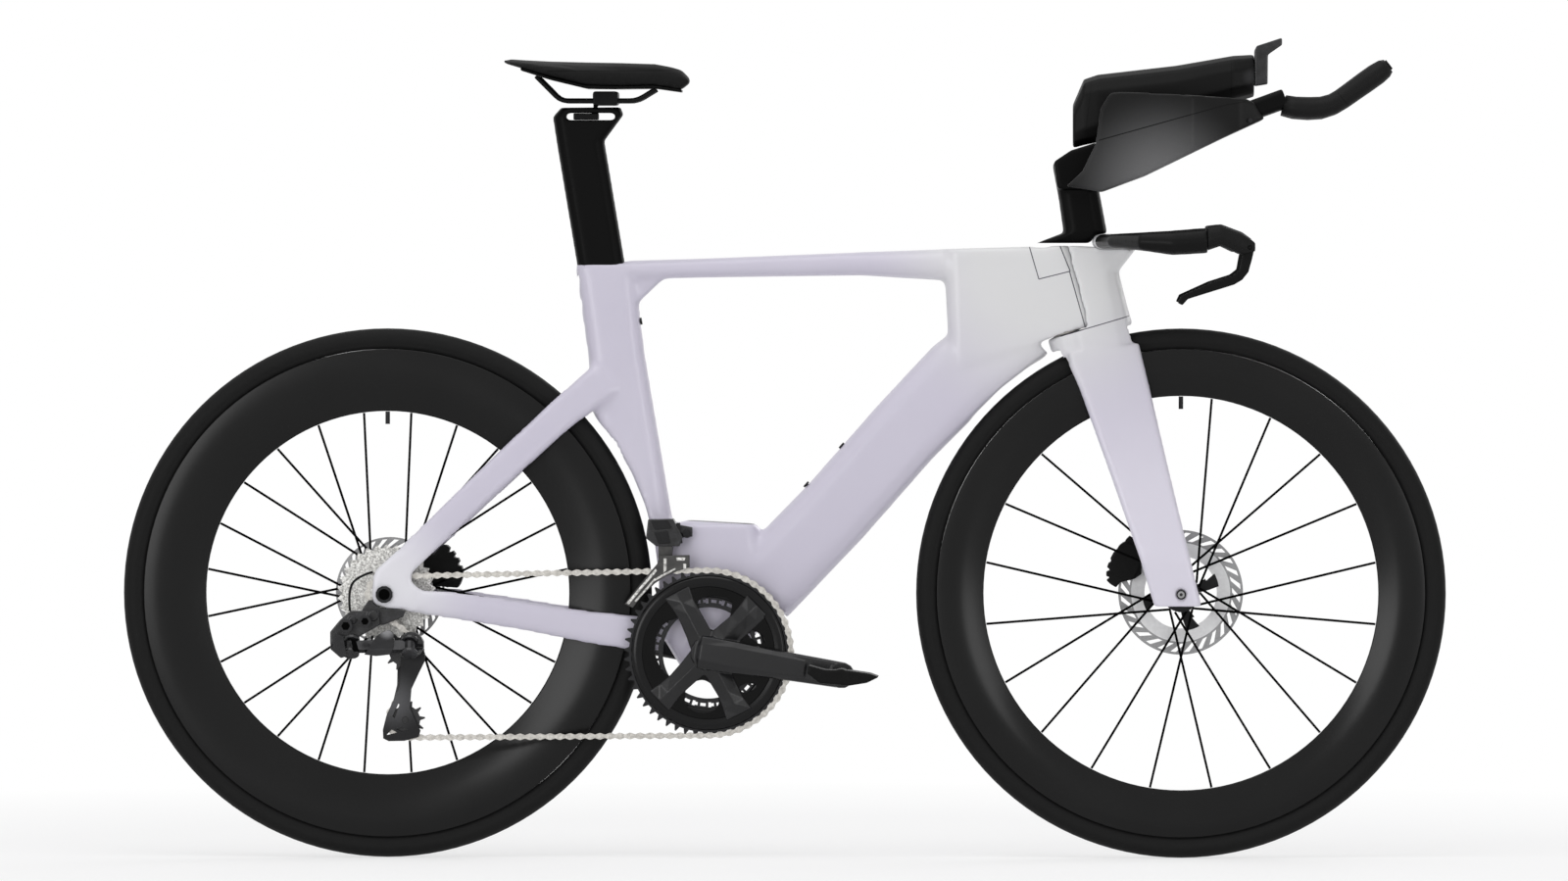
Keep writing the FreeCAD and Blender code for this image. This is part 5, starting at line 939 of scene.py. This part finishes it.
for node_name in ("derailleur_hanger", "derailleur_body", "derailleur_knuckle"):
    moulding(node_name + "_shell", [node_name], changer_resin, grain=0.0008, passes=2)
motor_bolt = (-0.5530, 0.2985)
pivot_bolt = (-0.5285, 0.3045)
axle_head = axles["rear"].xz
bolt_lines = (-0.1165, -0.1140)
socket_lines = (-0.1178, -0.1162)
facet_lines = (-0.1160, -0.1135)
bolt_sides = 20
outline_piece("mech_bolts", [
    (round_outline(*motor_bolt, 0.0088, bolt_sides), *bolt_lines),
    (round_outline(*pivot_bolt, 0.0078, bolt_sides), *bolt_lines),
    (side_points((-571, 268), (-566, 289), (-556, 286), (-552, 262), (-558, 258)), *facet_lines),
], link_grey, "frame_body", "black_metal")
# Near-black plates paint the shade in the sockets of the two ring bolts and of the rear axle's head, and the
# shade on one facet of the motor housing.
outline_piece("mech_painted_shade", [
    (round_outline(*motor_bolt, 0.0056, 6), *socket_lines),
    (round_outline(*pivot_bolt, 0.0048, 6), *socket_lines),
    (round_outline(*axle_head, 0.0072, bolt_sides), -0.0852, -0.0838),
    (round_outline(*axle_head, 0.0040, 6), -0.0860, -0.0848),
    (side_points((-543, 266), (-547, 284), (-540, 280), (-536, 266)), *facet_lines),
], spoke_black, "frame_body", "black_metal")
dress("derailleur_link", link_grey)
link_wedge_outline = side_points((-530, 262), (-516, 284), (-508, 290), (-499, 293), (-493, 289), (-493, 270),
                                 (-497, 262), (-515, 260))
wedge_lines = (-0.1060, -0.0930)
outline_piece("link_wedge", [(link_wedge_outline, *wedge_lines)], link_grey, "link_body", "black_metal")
cage_outline = side_points((-486, 250), (-487, 221), (-504, 183), (-508.5, 165), (-508, 154), (-501, 150.6),
                           (-481, 151), (-463, 156), (-460.5, 164), (-469, 181), (-474, 193), (-472, 217),
                           (-461.5, 239.5), (-454.7, 253), (-456.5, 275), (-467, 284), (-480, 275),
                           (-485, 262))
inner_outline = side_points((-490, 268), (-491, 222), (-500, 184), (-498, 164), (-482, 158), (-465, 164),
                            (-470, 182), (-478, 195), (-477, 220), (-468, 250), (-470, 270))
outer_lines = (-0.0700, -0.0676)
inner_lines = (-0.0575, -0.0557)
cage_plates = outline_piece("cage_plates", [(cage_outline, *outer_lines), (inner_outline, *inner_lines)],
                            cage_grey, "cage_body", "black_metal", "derailleur_cage")
window_lines = (-0.08, -0.05)
windows = bmesh.new()
for opening in (side_points((-503.5, 158.5), (-490, 161.5), (-497.5, 165.5)),
                side_points((-492, 166), (-484, 162.5), (-475, 164.5), (-483, 168.5)),
                side_points((-496.5, 182), (-493, 180), (-487.5, 197), (-488.8, 199))):
    pressed_plate(windows, opening, *window_lines)
bmesh.ops.recalc_face_normals(windows, faces=windows.faces)
window_cutter = placed("cage_windows", as_mesh("cage_windows", windows))
cutting = cage_plates.modifiers.new("windows", "BOOLEAN")
cutting.object = window_cutter
cutting.solver = "EXACT"
cage_plates.data = worked_out(cage_plates)
bpy.data.objects.remove(window_cutter)
outline_piece("cage_pins", [
    (round_outline(-0.4826, 0.2646, 0.0050, 14), -0.0835, -0.0555),
    (round_outline(-0.4797, 0.1775, 0.0042, 14), -0.0712, -0.0555),
    (round_outline(-0.4700, 0.2680, 0.0085, 18), -0.0760, -0.0690),
], changer_resin, "cage_body", "black_metal")
for node_name in ("guide_pulley", "tension_pulley"):
    dress(node_name, changer_resin)
wire_points = [(-0.5209, -0.0755, 0.3660), (-0.5420, -0.0785, 0.3598), (-0.5519, -0.0815, 0.3412),
               (-0.5494, -0.0845, 0.3164)]
wire_radius = 0.0016
wire_data = bpy.data.curves.new("mech_wire", "CURVE")
wire_data.dimensions = "3D"
wire_data.bevel_depth = wire_radius
wire_data.bevel_resolution = 3
wire_spline = wire_data.splines.new("NURBS")
wire_spline.points.add(len(wire_points) - 1)
for point, place in zip(wire_spline.points, wire_points):
    point.co = place + (1.0,)
wire_spline.order_u = 3
wire_spline.use_endpoint_u = True
wire_data.materials.append(rubber)
mech_wire = placed("mech_wire", wire_data)
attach(mech_wire, "frame_body")
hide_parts("derailleur_wire")

# Front derailleur.
# A faceted black motor block on a bolted bracket, and a slanting cage of two pressed steel plates with ribs
# that straddles the chain.
moulding("front_changer_block", ["front_derailleur"], changer_resin, grain=0.0008, passes=1)
bracket_bolt = (-0.1225, 0.4140)
outline_piece("front_changer_face", [
    (side_points((-168, 431), (-147, 432), (-141, 421), (-163, 419)), -0.0514, -0.0495),
    (side_points((-164, 416), (-147, 418), (-143, 402), (-158, 401)), -0.0520, -0.0495),
    (side_points((-136, 428), (-131, 428), (-128, 402), (-134, 401)), -0.0470, -0.0400),
    (round_outline(*bracket_bolt, 0.0055, 14), -0.0450, -0.0400),
    (round_outline(*bracket_bolt, 0.0032, 6), -0.0462, -0.0445),
], cage_grey, "frame_body", "black_metal")
pressed_steel = finish("pressed_steel", grey(48), tone(84, 83, 82),
                       patch=0.012, roughness=0.32, metal=0.7, contrast=1.5)
front_cage_outline = side_points((-157, 386), (-119, 387), (-119, 371.5), (-135, 366.5), (-150, 359.5),
                                 (-163, 351), (-180, 334.5), (-191, 320), (-201.5, 325), (-181, 351),
                                 (-160, 376))
outer_plate_lines = (-0.0546, -0.0532)
inner_plate_lines = (-0.0428, -0.0414)
bridge_lines = (-0.0535, -0.0425)
tang_lines = (-0.0420, -0.0300)
outline_piece("front_changer_cage", [
    (front_cage_outline, *outer_plate_lines),
    (front_cage_outline, *inner_plate_lines),
    (side_points((-159, 385), (-121, 386), (-121, 381), (-157, 379)), *bridge_lines),
    (side_points((-200, 326), (-195, 332), (-189, 325), (-191, 322)), *bridge_lines),
    (side_points((-159, 408), (-141, 408), (-141, 383), (-159, 383)), *tang_lines),
], pressed_steel, "changer_body", "steel", "front_derailleur_cage")
# The ribs are raised plates of the cage; their bright plated steel, far paler than the cage's pressed steel,
# paints highlights along them.
rib_outlines = (
    side_points((-199, 326), (-180, 349), (-162, 370), (-160, 367), (-178, 346), (-196, 324)),
    side_points((-189, 329), (-164, 357), (-137, 371), (-136, 369), (-163, 354), (-187, 327)),
    side_points((-152, 383), (-148, 383), (-148, 368), (-152, 364)),
    side_points((-136, 384), (-124, 384), (-125, 380), (-135, 380)),
    side_points((-127, 376), (-123, 376), (-123, 370), (-127, 367)),
)
rib_lines = (-0.0556, -0.0544)
outline_piece("front_cage_rib_highlights", [(outline, *rib_lines) for outline in rib_outlines], plated_steel,
              "changer_body", "steel")

# Fork.
# One moulded fork with the head's nose, under the same lilac paint as the frame.
moulding("fork_shell", ["fork"], lilac_paint, grain=0.0026, passes=4)

# Base bar and riser post.
# Black fibre mouldings bolted to the fork's nose. The bar's middle wears the head's pale paint below a slope.
bar_black = finish("bar_black", grey(10), grey(18), patch=0.05, roughness=0.36, shine=0.13)


def painted_below(material, place, slope, half_width, colour):
    """Paints a piece's middle in another colour under a sloping line in the side view."""
    tree = material.node_tree
    coords = tree.nodes["Texture Coordinate"].outputs["Object"]
    shifted = place_maths(tree, "SUBTRACT", coords, place, outlet="Vector")
    rise = place_maths(tree, "DOT_PRODUCT", shifted, (math.sin(slope), 0.0, math.cos(slope)))
    parts = tree.nodes.new("ShaderNodeSeparateXYZ")
    tree.links.new(shifted, parts.inputs["Vector"])
    under = maths(tree, "LESS_THAN", rise, 0.0)
    middle = maths(tree, "COMPARE", parts.outputs["Y"], 0.0, half_width)
    tinted(material, maths(tree, "MULTIPLY", under, middle), colour)


painted_below(bar_black, (0.4076, 0.0, 0.7956), math.radians(31.5), 0.034, tone(226, 226, 228))
for node_name, material in (("base_bar", bar_black), ("riser_post", black_fibre)):
    moulding(node_name + "_skin", [node_name], material, grain=0.002, passes=4)

# Arm cups, pads and extensions.
# Deep fibre cups carry foam pads for the forearms, and end in two extensions with rubber grips.
cup_fibre = finish("cup_fibre", grey(20), grey(30), patch=0.08, roughness=0.4, shine=0.14)
# The cups pale towards their lower middle: a painted highlight.
paler_near(cup_fibre, (0.478, -0.1, 0.857), 0.0, 0.125, tone(112, 112, 113))
joint_lines(cup_fibre, [(0.401, 0.9138, 0.563, 0.9590), (0.563, 0.9590, 0.587, 0.9630)], seam_width, grey(8))
moulding("arm_cup_pair", ["arm_cups"], cup_fibre, grain=0.002, passes=4)
cup_bolt = round_outline(0.5930, 0.9390, 0.0030, 14)
outline_piece("cup_bolts", [(cup_bolt, -0.0905, -0.0740), (cup_bolt, 0.0740, 0.0905)],
              black_steel, "steering", "black_steel")
stuffed("forearm_pads", "arm_pads", pad_cover, grain=0.0035, inset=0.0004, swell=0.0006)
moulding("extension_pair", ["extensions"], black_fibre, grain=0.0015, passes=4)
grip_rubber = finish("grip_rubber", grey(18), grey(28), patch=0.002, roughness=0.5, bump=0.00004, shine=0.14)
# Places along a grip in the side view, each with the grip's radius there.
grip_path = [(0.636, 0.9590, 0.0128), (0.650, 0.9560, 0.0138), (0.668, 0.9550, 0.0142),
             (0.684, 0.9558, 0.0140), (0.698, 0.9600, 0.0136), (0.710, 0.9670, 0.0134),
             (0.724, 0.9770, 0.0136), (0.740, 0.9885, 0.0140), (0.754, 0.9985, 0.0140),
             (0.763, 1.0050, 0.0126), (0.768, 1.0086, 0.0096)]
grip_seam_width = 0.0012
grip_sides = 20
grip_turns = [2 * math.pi * step / grip_sides for step in range(grip_sides)]
grip_lines = (-0.064, 0.064)
grips_shape = bmesh.new()
for line in grip_lines:
    rows = []
    for number, (x, z, radius) in enumerate(grip_path):
        before = grip_path[max(number - 1, 0)]
        after = grip_path[min(number + 1, len(grip_path) - 1)]
        heading = Vector((after[0] - before[0], 0, after[1] - before[1])).normalized()
        across = Vector((-heading.z, 0, heading.x))
        rows.append([grips_shape.verts.new(Vector((x, line, z)) + across * radius * math.cos(turn)
                                           + Vector((0, radius * math.sin(turn), 0))) for turn in grip_turns])
    lofted(grips_shape, rows)
joint_lines(grip_rubber, [(0.704, 0.975, 0.718, 0.957)], grip_seam_width, grey(5))
new_piece("grip_pair", grips_shape, [grip_rubber], "steering", "rubber", "extension_grips")
for side in ("right", "left"):
    dress("shift_button_" + side, forged_black)

# Hydration bottle and computer mount.
# A slim blow-moulded bottle lies between the cups; a plastic tongue for a computer stands on its front end.
bottle_plastic = finish("bottle_plastic", grey(14), grey(22), patch=0.06, roughness=0.42, shine=0.12)
joint_lines(bottle_plastic, [(0.394, 1.003, 0.385, 0.93), (0.5695, 1.02, 0.5695, 0.96)], seam_width, grey(4))
paler_near(bottle_plastic, (0.590, 0.0, 0.995), 0.016, 0.026, tone(88, 88, 90))
moulding("aero_bottle", ["hydration_bottle"], bottle_plastic, grain=0.002, passes=4)
moulding("computer_tongue", ["computer_mount"], changer_resin, grain=0.0012, passes=3)

# Brake hoods and levers.
# Rubber-covered housings on the horns of the base bar, with forged lever blades on their pins.
moulding("hood_pair", ["brake_hoods"], grip_rubber, grain=0.0013, passes=4)
for side in ("right", "left"):
    moulding("lever_%s_blade" % side, ["brake_lever_" + side], forged_black,
             grain=0.0009, passes=3)
